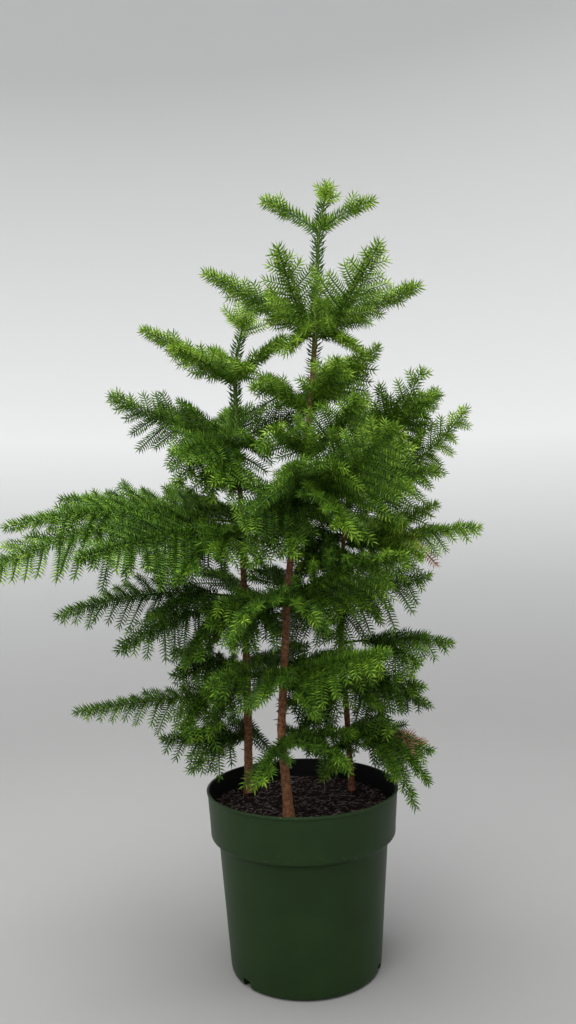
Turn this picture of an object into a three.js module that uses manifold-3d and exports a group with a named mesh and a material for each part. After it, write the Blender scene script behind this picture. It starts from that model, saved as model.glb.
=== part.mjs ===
// Norfolk island pine in its nursery pot: three seedling stems that share one root ball.
// Millimetres, +Z up. The origin is the middle of the pot's flat underside, +Y is the back.
import * as THREE from "three";
import { mergeVertices } from "three/addons/utils/BufferGeometryUtils.js";
import Module from "manifold-3d";

const wasm = await Module();
wasm.setup();

// ---------------------------------------------------------------- named sizes

const GAP = 0.3;
const WELD = 0.001;

const POT = {
  height: 248,
  wall: 2.0,
  floor: 2.5,
  footRadius: 101.5,
  footCorner: 105,
  footCornerHeight: 5,
  waistRadius: 118,
  waistHeight: 177,
  bandFootRadius: 128.5,
  bandFootHeight: 187,
  rimRadius: 132.5,
  lipRadius: 134,
  lipHeight: 4,
  sides: 36,
  innerEase: 0.4,
  innerStep: 1,
  innerCornerRise: 6,
  innerCornerRun: 4,
  notches: 3,
  notchTurn: 220,
  notchWidth: 16,
  notchHeight: 12,
  notchBevel: 3,
  notchBelow: 2,
  notchInward: 9,
  notchOutward: 6,
};

const SOIL = {
  top: 225,
  inset: 1.5 * GAP,
  edgeDrop: 3,
  edgeRun: 9,
};

// Each stem: where it runs (z: x, y) and how thick it is (z: radius).
const STEMS = {
  left: {
    path: [[225, -78, 49], [360, -76.5, 47], [450, -77, 46], [620, -78.5, 44], [740, -82, 43],
      [810, -83, 42], [853, -81, 41], [885, -74, 40]],
    girth: [[225, 7.8], [240, 6.4], [360, 5.9], [450, 5.0], [720, 3.6], [850, 2.6], [885, 1.8]],
  },
  centre: {
    path: [[225, -19, -70], [277, -22.5, -67], [335, -26.5, -62], [380, -24, -58], [436, -20, -53],
      [513, -15, -46], [583, -6.5, -40], [640, 3, -35], [755, 21, -25], [854, 31, -18],
      [990, 39.5, -8], [1033, 43.5, -5], [1062, 50, -3]],
    girth: [[225, 8.6], [246, 6.9], [335, 5.6], [450, 5.1], [600, 4.5], [800, 3.9], [1000, 2.5],
      [1062, 1.7]],
  },
  right: {
    path: [[225, 73, 50], [282, 70, 50], [327, 68.5, 50], [428, 63, 50], [478, 61.5, 50],
      [590, 70, 52], [706, 86, 54], [770, 99, 55]],
    girth: [[225, 6.0], [240, 4.7], [330, 4.2], [480, 3.4], [700, 2.6], [770, 1.8]],
  },
};
const TRUNK = {
  sides: 8,
  flareHeights: [0, 8, 20],
  ringPitch: 62,
  clear: 1.1 * GAP,
};

// Each mass leaves its stem at a height and holds one or more flat sprays:
// [compass, reach, height of the tip, arch, breadth to one side, roll]
// Compass 0 is +X, 90 the back. Arch lifts the middle. Roll tips the flat of the spray.
const MASSES = [
  ["left", "2a", 824, [[182, 140, 904, 4, 32, -40]]],
  ["left", "2b", 820, [[226, 122, 862, 4, 34, -20], [288, 78, 836, 0, 34, 28]]],
  ["left", "2c", 828, [[24, 86, 897, 0, 32, 25], [108, 105, 888, -4, 42, -26]]],
  ["left", "3a", 735, [[182, 190, 812, -10, 64, -48]]],
  ["left", "3b", 724, [[238, 142, 704, 16, 60, 30], [294, 105, 718, 8, 46, 32],
    [262, 130, 668, 8, 54, 24], [218, 112, 664, 18, 54, 34], [246, 90, 640, 14, 50, -22]]],
  ["left", "3c", 738, [[20, 130, 786, 4, 52, 45]]],
  ["left", "3d", 745, [[98, 178, 804, 0, 60, 26], [142, 178, 794, 0, 56, -30]]],
  ["left", "4a", 618, [[207, 388, 550, 34, 86, 34], [179, 190, 600, 8, 58, 24],
    [201, 338, 618, 16, 44, 40]], 0.13],
  ["left", "4b", 628, [[175, 278, 660, 2, 64, 40]]],
  ["left", "4c", 606, [[227, 290, 576, 12, 72, 32], [262, 165, 570, 12, 56, 28],
    [244, 180, 540, 20, 60, -26], [214, 150, 550, 14, 56, 34]]],
  ["left", "4d", 632, [[120, 258, 668, 0, 72, -24], [52, 150, 660, 0, 54, 26]]],
  ["left", "5a", 508, [[184, 278, 487, 20, 54, 38], [163, 160, 474, 8, 54, 24]], 0.14],
  ["left", "5b", 500, [[214, 207, 448, 16, 50, 34], [254, 138, 480, 10, 50, 26],
    [236, 140, 424, 18, 50, -24], [264, 96, 438, 14, 46, 30]]],
  ["left", "5c", 512, [[104, 222, 532, 4, 64, -22], [330, 62, 452, 6, 42, 10],
    [120, 112, 428, 10, 52, 24]]],
  ["left", "6a", 370, [[186, 255, 352, 4, 38, 26], [226, 125, 330, 8, 46, 24]], 0.16],
  ["left", "6b", 404, [[150, 140, 424, 0, 46, 24], [76, 150, 396, 4, 50, 24],
    [206, 118, 402, 10, 46, 30], [244, 116, 378, 14, 46, 26], [242, 98, 326, 12, 44, -24],
    [146, 106, 322, 8, 44, -20]]],
  ["left", "7a", 300, [[196, 132, 312, 4, 44, 30], [226, 112, 268, 24, 38, 22],
    [92, 112, 300, 6, 42, -22], [150, 120, 290, 8, 42, -24]]],
  ["centre", "1a", 1022, [[172, 86, 1074, 6, 24, -30]]],
  ["centre", "1b", 1024, [[6, 86, 1070, 6, 22, 30], [82, 72, 1066, -2, 20, 24]]],
  ["centre", "2a", 872, [[186, 158, 966, 4, 36, -25], [246, 124, 974, -6, 44, -22],
    [236, 66, 842, 8, 42, -24]]],
  ["centre", "2b", 870, [[355, 154, 940, 6, 38, 25], [306, 144, 976, -8, 52, 15],
    [308, 80, 846, 8, 44, 26]]],
  ["centre", "2c", 880, [[78, 122, 958, -4, 46, 22], [128, 118, 962, -4, 42, -22]]],
  ["centre", "3a", 772, [[342, 104, 856, -4, 38, 30], [288, 118, 826, -4, 48, 24],
    [322, 96, 846, -4, 38, 20]]],
  ["centre", "3b", 768, [[198, 88, 804, 8, 32, -30], [120, 118, 836, 0, 46, -22],
    [72, 118, 852, -2, 48, 24]]],
  ["centre", "4a", 622, [[312, 192, 738, -4, 88, 50], [294, 150, 606, 12, 62, 28],
    [296, 128, 690, 4, 60, 34]], 0.2],
  ["centre", "4b", 644, [[268, 158, 692, 4, 68, -20], [226, 116, 612, 14, 56, 34],
    [202, 82, 576, 16, 54, 34], [234, 100, 556, 24, 52, 28], [262, 92, 566, 18, 52, -26]]],
  ["centre", "4c", 652, [[349, 160, 664, 4, 60, -26]]],
  ["centre", "4d", 640, [[94, 190, 708, 0, 66, 22], [154, 150, 690, 0, 56, -26],
    [64, 140, 604, 6, 58, 26], [80, 140, 556, 8, 56, 24]]],
  ["centre", "4e", 704, [[301, 138, 776, -4, 62, 24], [246, 108, 742, 0, 50, -26]]],
  ["centre", "5a", 515, [[326, 188, 576, 8, 66, 35], [356, 140, 532, 6, 54, -26]]],
  ["centre", "5b", 508, [[246, 150, 498, 14, 56, -28], [284, 128, 502, 10, 54, 28],
    [198, 104, 506, 8, 46, 28], [222, 110, 456, 16, 50, 24]]],
  ["centre", "5c", 520, [[96, 180, 544, 4, 60, -22], [60, 126, 438, 8, 52, 24]]],
  ["centre", "6a", 408, [[321, 178, 458, 4, 48, -26], [350, 140, 424, 6, 46, -24]]],
  ["centre", "6b", 416, [[198, 112, 404, 8, 42, 26], [258, 112, 402, 8, 42, -24],
    [292, 106, 376, 10, 42, 28]]],
  ["centre", "6c", 424, [[88, 150, 432, 4, 50, 24], [16, 120, 430, 6, 42, 24],
    [36, 92, 372, 8, 44, 22], [46, 96, 316, 10, 44, 22]]],
  ["centre", "7a", 326, [[313, 124, 318, 10, 46, 24], [252, 96, 290, 14, 42, -26],
    [18, 110, 324, 6, 42, 24], [62, 112, 300, 8, 42, -20]]],
  ["right", "1a", 738, [[350, 128, 806, -8, 58, 30], [322, 118, 838, -30, 60, 45],
    [338, 124, 802, -16, 52, 40], [92, 112, 800, -2, 46, 24]]],
  ["right", "2a", 668, [[4, 186, 788, -30, 74, 48]]],
  ["right", "2b", 676, [[300, 140, 722, 0, 62, 26], [344, 136, 682, 4, 50, -28],
    [296, 122, 596, 18, 52, -24]]],
  ["right", "2c", 680, [[72, 190, 722, 0, 66, -24]]],
  ["right", "3a", 582, [[353, 206, 604, 2, 52, -30], [322, 140, 562, 8, 54, -26],
    [2, 146, 644, -4, 46, -28]]],
  ["right", "3b", 590, [[62, 205, 616, 2, 66, -22], [146, 120, 600, 4, 48, -24],
    [192, 78, 560, 8, 44, -28]]],
  ["right", "3c", 558, [[286, 130, 552, 8, 54, 26], [226, 110, 544, 12, 52, -28],
    [246, 92, 492, 14, 50, 24]]],
  ["right", "4a", 438, [[351, 168, 435, 8, 46, -26], [324, 132, 410, 10, 50, -24]], 0.18],
  ["right", "4b", 498, [[338, 140, 536, 6, 58, -44], [74, 172, 500, 4, 58, -24],
    [196, 104, 480, 8, 50, -26], [264, 84, 440, 10, 44, 24]]],
  ["right", "5a", 378, [[334, 126, 378, 8, 46, -26], [288, 104, 368, 8, 42, 26],
    [60, 148, 370, 6, 50, -22], [8, 132, 336, 10, 46, 24], [194, 96, 352, 8, 44, -24],
    [312, 96, 316, 14, 44, -24], [184, 74, 304, 8, 40, -22]]],
  ["right", "6a", 304, [[346, 126, 278, 16, 46, -26], [315, 126, 208, 42, 30, 0],
    [300, 126, 262, 20, 36, 26], [72, 104, 290, 8, 42, 22], [12, 116, 256, 20, 42, 22],
    [246, 92, 264, 12, 40, -24], [334, 128, 236, 30, 40, 20]]],
];

// The soft green top of each stem: how high it stands and how wide its twigs spread.
const TUFTS = [
  ["left", 938, 52, 6],
  ["centre", 1097, 30, 6],
  ["right", 812, 34, 5],
];

// The midrib of a spray. Shares are of its length or of its radius at the foot.
const RIB = {
  radius: 2.8,
  fullLength: 160,
  ofTrunk: 0.8,
  taper: 0.45,
  tipFrom: 0.8,
  pastTrunk: 7,
  pastBough: 0.04,
  boughFoot: 1.35,
  boughTip: 1.05,
  boughRings: 4,
};

// Twigs stand in pairs along a midrib. Angles are in degrees from the midrib's way.
const TWIG = {
  pitch: 52,
  fewPairs: 1,
  fewBelow: 108,
  leastPairs: 2,
  first: 0.2,
  afterStart: 0.07,
  rootHalf: 6.5,
  rootShare: 0.36,
  angle: 70,
  angleSpread: 10,
  angleFall: 14,
  lift: 0.2,
  liftBelow: 0.4,
  least: 0.9,
  spread: 0.2,
  forwardBend: 0.12,
  tries: [1, 0.8, 0.6, 0.42],
  clear: 0.45,
};

// Twig length along the midrib, as a share of the breadth: it grows from the foot, then falls.
const OUTLINE = {
  atFoot: 0.55,
  growth: 1.8,
  endsAt: 1.05,
  fallOver: 0.6,
};

// Low sprays hang at the ends of their twigs and high ones rise, as a share of twig length.
// A twig that sets out upwards hangs less.
const HANG = {
  levelAt: 820,
  heightPerShare: 620,
  least: -0.6,
  most: 0.12,
  risingShare: 0.35,
};

// A blade is the body of needles round one twig: wide at each tooth, narrow behind it.
const BLADE = {
  reach: 13,
  thick: 15,
  taper: 0.45,
  below: 0.4,
  above: 0.6,
  twoTeethFrom: 92,
  waistFrom: 48,
  toothAt: 0.66,
  toothEnds: 0.55,
  toothLoss: 0.16,
  waistAfter: 0.05,
  waist: 0.55,
  waistLoss: 0.06,
  shortReach: 0.45,
  fullReachLength: 75,
  rootReach: 0.5,
};

// The end of a midrib: [place, half width, thickness] of its rings, as shares.
const TIP = {
  size: 0.85,
  rings: [[0.4, 1, 1], [0.5, 0.55, 0.9]],
  tries: [1, 0.6, 0.3],
  least: 2,
};

const TUFT = {
  leanOver: 12,
  stemRadius: 1.6,
  stemShare: 0.5,
  tipFrom: 0.3,
  tipReach: 9,
  tipThick: 12,
  twigReach: 9.5,
  twigThick: 11,
  twigFrom: 0.2,
  twigStep: 0.06,
  twigLoss: 0.04,
  twigRise: 0.3,
  twigRiseSpread: 0.25,
  turnSpread: 20,
};
const SEED = 4107;
const SEED_STEP = 97;
const TUFT_SEED = 9107;

const COLOURS = {
  pot: 0x2c4a2b,
  soil: 0x33201a,
  bark: 0x6f4a35,
  bough: 0x59662f,
  needles: 0x3a6b1f,
  fresh: 0x5f9a2c,
};

// ---------------------------------------------------------------- small tools

const UP = new THREE.Vector3(0, 0, 1);
const rad = (degrees) => (degrees * Math.PI) / 180;

function seeded(seed) {
  let state = seed >>> 0;
  return () => {
    state = (Math.imul(state, 1664525) + 1013904223) >>> 0;
    return state / 4294967296;
  };
}

// A smooth curve through rows [z, a, b...]: cubic pieces with slopes from the neighbours.
function alongHeight(rows, z) {
  const last = rows.length - 1;
  const zz = Math.min(Math.max(z, rows[0][0]), rows[last][0]);
  let i = 0;
  while (i < last - 1 && zz > rows[i + 1][0]) {
    i += 1;
  }
  const slope = (k, c) => {
    const a = rows[Math.max(k - 1, 0)];
    const b = rows[Math.min(k + 1, last)];
    return (b[c] - a[c]) / (b[0] - a[0]);
  };
  const span = rows[i + 1][0] - rows[i][0];
  const t = (zz - rows[i][0]) / span;
  const out = [];
  for (let c = 1; c < rows[0].length; c += 1) {
    const p = rows[i][c];
    const q = rows[i + 1][c];
    const h = t * t * (3 - 2 * t);
    const bend = slope(i, c) * (t - 2 * t * t + t * t * t) + slope(i + 1, c) * (t * t * t - t * t);
    out.push(p + (q - p) * h + bend * span);
  }
  return out;
}

function trunkPoint(stem, z) {
  const [x, y] = alongHeight(STEMS[stem].path, z);
  return new THREE.Vector3(x, y, z);
}

function trunkRadius(stem, z) {
  return alongHeight(STEMS[stem].girth, z)[0];
}

// Rings of points with the same count become a closed solid with flat ends.
// A ring of one point is a sharp end.
function loft(rings) {
  const points = rings.flat();
  const starts = [];
  let n = 0;
  for (const ring of rings) {
    starts.push(n);
    n += ring.length;
  }
  const faces = [];
  for (let i = 0; i < rings.length - 1; i += 1) {
    const a = starts[i];
    const b = starts[i + 1];
    const na = rings[i].length;
    const nb = rings[i + 1].length;
    for (let k = 0; k < Math.max(na, nb); k += 1) {
      const l = (k + 1) % Math.max(na, nb);
      if (na > 1) {
        faces.push([a + k, a + l, b + (nb > 1 ? l : 0)]);
      }
      if (nb > 1) {
        faces.push([a + (na > 1 ? k : 0), b + l, b + k]);
      }
    }
  }
  const close = (start, count, flip) => {
    for (let k = 1; k < count - 1; k += 1) {
      faces.push(flip ? [start, start + k + 1, start + k] : [start, start + k, start + k + 1]);
    }
  };
  close(starts[0], rings[0].length, true);
  close(starts[rings.length - 1], rings[rings.length - 1].length, false);
  return solid(points, faces);
}

// Points and faces to a closed solid whose faces look out.
function solid(points, faces) {
  let volume = 0;
  for (const [a, b, c] of faces) {
    volume += points[a].dot(new THREE.Vector3().crossVectors(points[b], points[c]));
  }
  const turned = volume < 0 ? faces.map(([a, b, c]) => [a, c, b]) : faces;
  const mesh = new wasm.Mesh({
    numProp: 3,
    vertProperties: new Float32Array(points.flatMap((p) => [p.x, p.y, p.z])),
    triVerts: new Uint32Array(turned.flat()),
  });
  return new wasm.Manifold(mesh);
}

function fromGeometry(geometry) {
  const bare = geometry.clone();
  bare.deleteAttribute("normal");
  bare.deleteAttribute("uv");
  const merged = mergeVertices(bare, WELD);
  const position = merged.getAttribute("position");
  const points = [];
  for (let i = 0; i < position.count; i += 1) {
    points.push(new THREE.Vector3().fromBufferAttribute(position, i));
  }
  const index = merged.getIndex().array;
  const faces = [];
  for (let i = 0; i < index.length; i += 3) {
    const [a, b, c] = [index[i], index[i + 1], index[i + 2]];
    if (a !== b && b !== c && c !== a) {
      faces.push([a, b, c]);
    }
  }
  return solid(points, faces);
}

function toGeometry(body) {
  const mesh = body.getMesh();
  const count = mesh.numProp;
  const positions = new Float32Array((mesh.vertProperties.length / count) * 3);
  for (let i = 0; i < positions.length / 3; i += 1) {
    positions.set(mesh.vertProperties.subarray(i * count, i * count + 3), i * 3);
  }
  const geometry = new THREE.BufferGeometry();
  geometry.setAttribute("position", new THREE.BufferAttribute(positions, 3));
  geometry.setIndex(new THREE.BufferAttribute(new Uint32Array(mesh.triVerts), 1));
  return geometry;
}

function bounds(body) {
  const mesh = body.getMesh();
  const box = new THREE.Box3();
  const p = new THREE.Vector3();
  for (let i = 0; i < mesh.vertProperties.length; i += mesh.numProp) {
    box.expandByPoint(p.fromArray(mesh.vertProperties, i));
  }
  return box;
}

const group = new THREE.Group();
const taken = [];

function addNode(name, body, colour, roughness) {
  const material = new THREE.MeshStandardMaterial({ color: colour, roughness, metalness: 0 });
  material.name = `${name}_finish`;
  const mesh = new THREE.Mesh(toGeometry(body), material);
  mesh.name = name;
  group.add(mesh);
  taken.push({ name, body, box: bounds(body).expandByScalar(1) });
}

// ---------------------------------------------------------------- pot and soil

function turned(profile) {
  const points = profile.map(([r, z]) => new THREE.Vector2(r, z));
  const geometry = new THREE.LatheGeometry(points, POT.sides);
  geometry.rotateX(Math.PI / 2);
  return fromGeometry(geometry);
}

function potOuter() {
  const band = POT.height - POT.lipHeight;
  return [
    [0, 0],
    [POT.footRadius, 0],
    [POT.footCorner, POT.footCornerHeight],
    [POT.waistRadius, POT.waistHeight],
    [POT.bandFootRadius, POT.bandFootHeight],
    [POT.rimRadius, band],
    [POT.lipRadius, band],
    [POT.lipRadius, POT.height],
  ];
}

// The inside follows the outside one wall in, from the rim down to the floor.
function potInner(inset) {
  const w = POT.wall + inset;
  const floor = POT.floor + inset;
  return [
    [POT.rimRadius - w, POT.height],
    [POT.bandFootRadius - w - POT.innerEase, POT.bandFootHeight + POT.innerStep],
    [POT.waistRadius - w, POT.waistHeight + POT.innerStep],
    [POT.footCorner - w, floor + POT.innerCornerRise],
    [POT.footCorner - w - POT.innerCornerRun, floor],
    [0, floor],
  ];
}

// A block across the foot of the wall, turned to its place.
function notchBlock(turn) {
  const half = POT.notchWidth / 2;
  const top = POT.notchHeight;
  const bevel = POT.notchBevel;
  const ring = (r) => [
    [r, -half, -POT.notchBelow],
    [r, half, -POT.notchBelow],
    [r, half, top - bevel],
    [r, half - bevel, top],
    [r, -half + bevel, top],
    [r, -half, top - bevel],
  ].map(([x, y, z]) => new THREE.Vector3(x, y, z).applyAxisAngle(UP, turn));
  return loft([ring(POT.footRadius - POT.notchInward), ring(POT.footCorner + POT.notchOutward)]);
}

function makePot() {
  let body = turned([...potOuter(), ...potInner(0)]);
  for (let k = 0; k < POT.notches; k += 1) {
    body = body.subtract(notchBlock(rad(POT.notchTurn + (360 / POT.notches) * k)));
  }
  return body;
}

function makeSoil() {
  const inner = potInner(SOIL.inset);
  const wallAt = (z) => {
    const [r0, z0] = inner[0];
    const [r1, z1] = inner[1];
    return r1 + ((r0 - r1) * (z - z1)) / (z0 - z1);
  };
  const edge = SOIL.top - SOIL.edgeDrop;
  const profile = [
    [0, inner[4][1]],
    inner[4],
    inner[3],
    inner[2],
    inner[1],
    [wallAt(edge), edge],
    [wallAt(edge) - SOIL.edgeRun, SOIL.top],
    [0, SOIL.top],
  ];
  return turned(profile);
}

// ---------------------------------------------------------------- stems

function trunkSolid(stem, extra) {
  const rows = STEMS[stem].path;
  const top = rows[rows.length - 1][0];
  const foot = SOIL.top + GAP;
  const heights = TRUNK.flareHeights.map((h) => foot + h);
  const flare = heights[heights.length - 1];
  const steps = Math.round((top - foot) / TRUNK.ringPitch);
  for (let k = 1; k <= steps; k += 1) {
    heights.push(flare + ((top - flare) * k) / steps);
  }
  const rings = heights.map((z) => {
    const p = trunkPoint(stem, z);
    const r = (trunkRadius(stem, z) + extra) / Math.cos(Math.PI / TRUNK.sides);
    const ring = [];
    for (let k = 0; k < TRUNK.sides; k += 1) {
      const a = (2 * Math.PI * (k + 0.5)) / TRUNK.sides;
      ring.push(new THREE.Vector3(p.x + r * Math.cos(a), p.y + r * Math.sin(a), z));
    }
    return ring;
  });
  if (extra > 0) {
    rings[0].forEach((p) => p.setZ(p.z - extra));
    rings[rings.length - 1].forEach((p) => p.setZ(p.z + extra));
  }
  return loft(rings);
}

// ---------------------------------------------------------------- sprays

// The midrib of a spray: straight from foot to tip, lifted in the middle by its arch.
class Midrib {
  constructor(foot, tip, arch, roll, trunk) {
    this.foot = foot;
    this.run = tip.clone().sub(foot);
    this.arch = arch;
    this.roll = rad(roll);
    this.length = this.run.length();
    const full = RIB.radius * Math.min(1, this.length / RIB.fullLength);
    this.girth = Math.min(full, RIB.ofTrunk * trunk);
  }

  point(s) {
    const p = this.foot.clone().addScaledVector(this.run, s);
    p.z += this.arch * 4 * s * (1 - s);
    return p;
  }

  // Forward, sideways and face directions of the spray at s.
  frame(s) {
    const forward = this.run.clone();
    forward.z += this.arch * 4 * (1 - 2 * s);
    forward.normalize();
    const side = new THREE.Vector3().crossVectors(UP, forward).normalize();
    side.applyAxisAngle(forward, -this.roll);
    const face = new THREE.Vector3().crossVectors(forward, side);
    return { forward, side, face };
  }
}

function hangAt(z) {
  const share = (z - HANG.levelAt) / HANG.heightPerShare;
  return Math.min(Math.max(share, HANG.least), HANG.most);
}

function twigShare(s) {
  const grown = Math.min(1, OUTLINE.atFoot + OUTLINE.growth * s);
  return grown * Math.min(1, (OUTLINE.endsAt - s) / OUTLINE.fallOver);
}

// The rings of a three-sided blade that ends in a point: corners in the order aft, top, fore.
function bladeRings(root, way, across, flat, length, reach, thick, bend) {
  const teeth = length > BLADE.twoTeethFrom ? 2 : 1;
  const rings = [];
  const centre = (u) => root.clone().addScaledVector(way, u * length).addScaledVector(bend, u * u);
  const ring = (u, w) => {
    const c = centre(u);
    const t = thick * (1 - BLADE.taper * u);
    return [
      c.clone().addScaledVector(across, -reach * w).addScaledVector(flat, -t * BLADE.below),
      c.clone().addScaledVector(flat, t * BLADE.above),
      c.clone().addScaledVector(across, reach * w).addScaledVector(flat, -t * BLADE.below),
    ];
  };
  for (let k = 0; k < teeth; k += 1) {
    const at = (k + BLADE.toothAt) / (teeth + BLADE.toothEnds);
    rings.push(ring(at, 1 - BLADE.toothLoss * k));
    if (length > BLADE.waistFrom) {
      rings.push(ring(at + BLADE.waistAfter, BLADE.waist - BLADE.waistLoss * k));
    }
  }
  rings.push([centre(1)]);
  return rings;
}

function bladeSolid(root, way, across, flat, length, reach, thick, bend) {
  return loft([[root], ...bladeRings(root, way, across, flat, length, reach, thick, bend)]);
}

function triangle(rib, s, r) {
  const { side, face } = rib.frame(s);
  return [30, 150, 270].map((a) => rib.point(s)
    .addScaledVector(side, r * Math.cos(rad(a)))
    .addScaledVector(face, r * Math.sin(rad(a))));
}

function stemSolid(rib, from, to, r0, r1, steps) {
  const rings = [];
  for (let k = 0; k <= steps; k += 1) {
    const share = k / steps;
    rings.push(triangle(rib, from + (to - from) * share, r0 + (r1 - r0) * share));
  }
  return loft(rings);
}

function touches(probe, others) {
  const box = bounds(probe);
  return others.some((other) => other.box.intersectsBox(box)
    && probe.intersect(other.body).getMesh().triVerts.length > 0);
}

// How one twig stands on the midrib: its way, its across and its flat direction.
function twigFrame(rib, s, hand, random) {
  const { forward, side, face } = rib.frame(s);
  const angle = rad(TWIG.angle + TWIG.angleSpread * (random() - 0.5) - TWIG.angleFall * s);
  const way = forward.clone().multiplyScalar(Math.cos(angle))
    .addScaledVector(side, hand * Math.sin(angle))
    .addScaledVector(face, TWIG.lift * (random() - TWIG.liftBelow))
    .normalize();
  const across = forward.clone().addScaledVector(way, -forward.dot(way)).normalize();
  const flat = new THREE.Vector3().crossVectors(way, across);
  if (flat.dot(face) < 0) {
    flat.negate();
  }
  return { forward, way, across, flat };
}

// Which ring corner (aft, top, fore) each corner of a panel of the midrib runs to.
const PANEL_SLOTS = { 1: [1, 0, 2, 1], 2: [0, 1, 2, 2] };

// One flat spray as one closed skin: a three-sided midrib whose two lower sides put out twigs
// in pairs. A twig that meets a neighbour is tried shorter, then left out.
function spraySolid(rib, from, breadth, random, others) {
  const points = [];
  const faces = [];
  const cut = RIB.tipFrom;
  const add = (ring) => ring.map((p) => points.push(p) - 1);
  const face = (a, b, c) => {
    if (a !== b && b !== c && c !== a) {
      faces.push([a, b, c]);
    }
  };
  const skin = (loop, next) => {
    for (let i = 0; i < loop.length; i += 1) {
      const j = (i + 1) % loop.length;
      face(loop[i], loop[j], next[j]);
      face(loop[i], next[j], next[i]);
    }
  };
  const panel = (a, b, k) => {
    const l = (k + 1) % 3;
    face(a[k], a[l], b[l]);
    face(a[k], b[l], b[k]);
  };
  const radius = (s) => rib.girth * (1 - RIB.taper * Math.min(1, s / cut));
  const first = Math.max(TWIG.first, from + TWIG.afterStart);
  const span = (cut - first) * rib.length;
  const least = rib.length < TWIG.fewBelow ? TWIG.fewPairs : TWIG.leastPairs;
  const pairs = Math.max(least, Math.round(span / TWIG.pitch));
  const half = Math.min(TWIG.rootHalf, (TWIG.rootShare * span) / pairs) / rib.length;
  let last = add(triangle(rib, from, radius(from)));
  face(last[0], last[2], last[1]);
  for (let k = 0; k < pairs; k += 1) {
    const s = first + ((cut - first) * (k + 0.5)) / pairs;
    const start = add(triangle(rib, s - half, radius(s)));
    const end = add(triangle(rib, s + half, radius(s)));
    [0, 1, 2].forEach((side) => panel(last, start, side));
    panel(start, end, 0);
    for (const hand of [1, -1]) {
      const side = hand > 0 ? 2 : 1;
      const rings = twigRings(rib, s, hand, breadth, random, others);
      if (rings === null) {
        panel(start, end, side);
      } else {
        const l = (side + 1) % 3;
        let loop = [start[side], start[l], end[l], end[side]];
        for (const ring of rings) {
          const ids = add(ring);
          const next = PANEL_SLOTS[side].map((slot) => ids[Math.min(slot, ids.length - 1)]);
          skin(loop, next);
          loop = next;
        }
      }
    }
    last = end;
  }
  const end = add(triangle(rib, cut, radius(cut)));
  [0, 1, 2].forEach((side) => panel(last, end, side));
  last = end;
  for (const ring of tipRings(rib, cut, others)) {
    const ids = add(ring);
    skin(last, [0, 1, 2].map((slot) => ids[Math.min(slot, ids.length - 1)]));
    last = ids;
  }
  return solid(points, faces);
}

function twigRings(rib, s, hand, breadth, random, others) {
  const { forward, way, across, flat } = twigFrame(rib, s, hand, random);
  const own = TWIG.least + TWIG.spread * random();
  const full = breadth * twigShare(s) * own + BLADE.rootReach * BLADE.reach;
  for (const share of TWIG.tries) {
    const length = full * share;
    const bend = forward.clone().multiplyScalar(length * TWIG.forwardBend);
    bend.z += length * hangAt(rib.foot.z) * (way.z > 0 ? HANG.risingShare : 1);
    const reach = BLADE.reach * Math.min(1, BLADE.shortReach + length / BLADE.fullReachLength);
    const wide = bladeSolid(rib.point(s), way, across, flat, length + TWIG.clear,
      reach + TWIG.clear, BLADE.thick + 2 * TWIG.clear, bend);
    if (!touches(wide, others)) {
      return bladeRings(rib.point(s), way, across, flat, length, reach, BLADE.thick, bend);
    }
  }
  return null;
}

// The end of the midrib, with its needles: wide teeth and a keel below, to the furthest point.
function tipRings(rib, cut, others) {
  const make = (reach, thick) => {
    const rings = TIP.rings.map(([place, wide, deep]) => {
      const s = cut + (1 - cut) * place;
      const { side, face } = rib.frame(s);
      const w = wide * reach;
      const t = deep * thick;
      return [[w, t * BLADE.below], [-w, t * BLADE.below], [0, -t * BLADE.above]].map(([a, b]) => (
        rib.point(s).addScaledVector(side, a).addScaledVector(face, b)));
    });
    return [...rings, [rib.point(1)]];
  };
  for (const share of TIP.tries) {
    const reach = BLADE.reach * TIP.size * share;
    const thick = BLADE.thick * TIP.size * share;
    const probe = loft([[rib.point(cut)], ...make(reach + TWIG.clear, thick + 2 * TWIG.clear)]);
    if (!touches(probe, others)) {
      return make(reach, thick);
    }
  }
  return make(TIP.least, TIP.least);
}

function joined(parts) {
  return parts.reduce((all, part) => all.add(part));
}

// Keeps the largest body, so a loose scrap is dropped.
function whole(body) {
  const pieces = body.decompose();
  if (pieces.length === 1) {
    return body;
  }
  const sized = pieces.map((piece) => [piece.getMesh().triVerts.length, piece]);
  sized.sort((a, b) => b[0] - a[0]);
  return sized[0][1];
}

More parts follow.
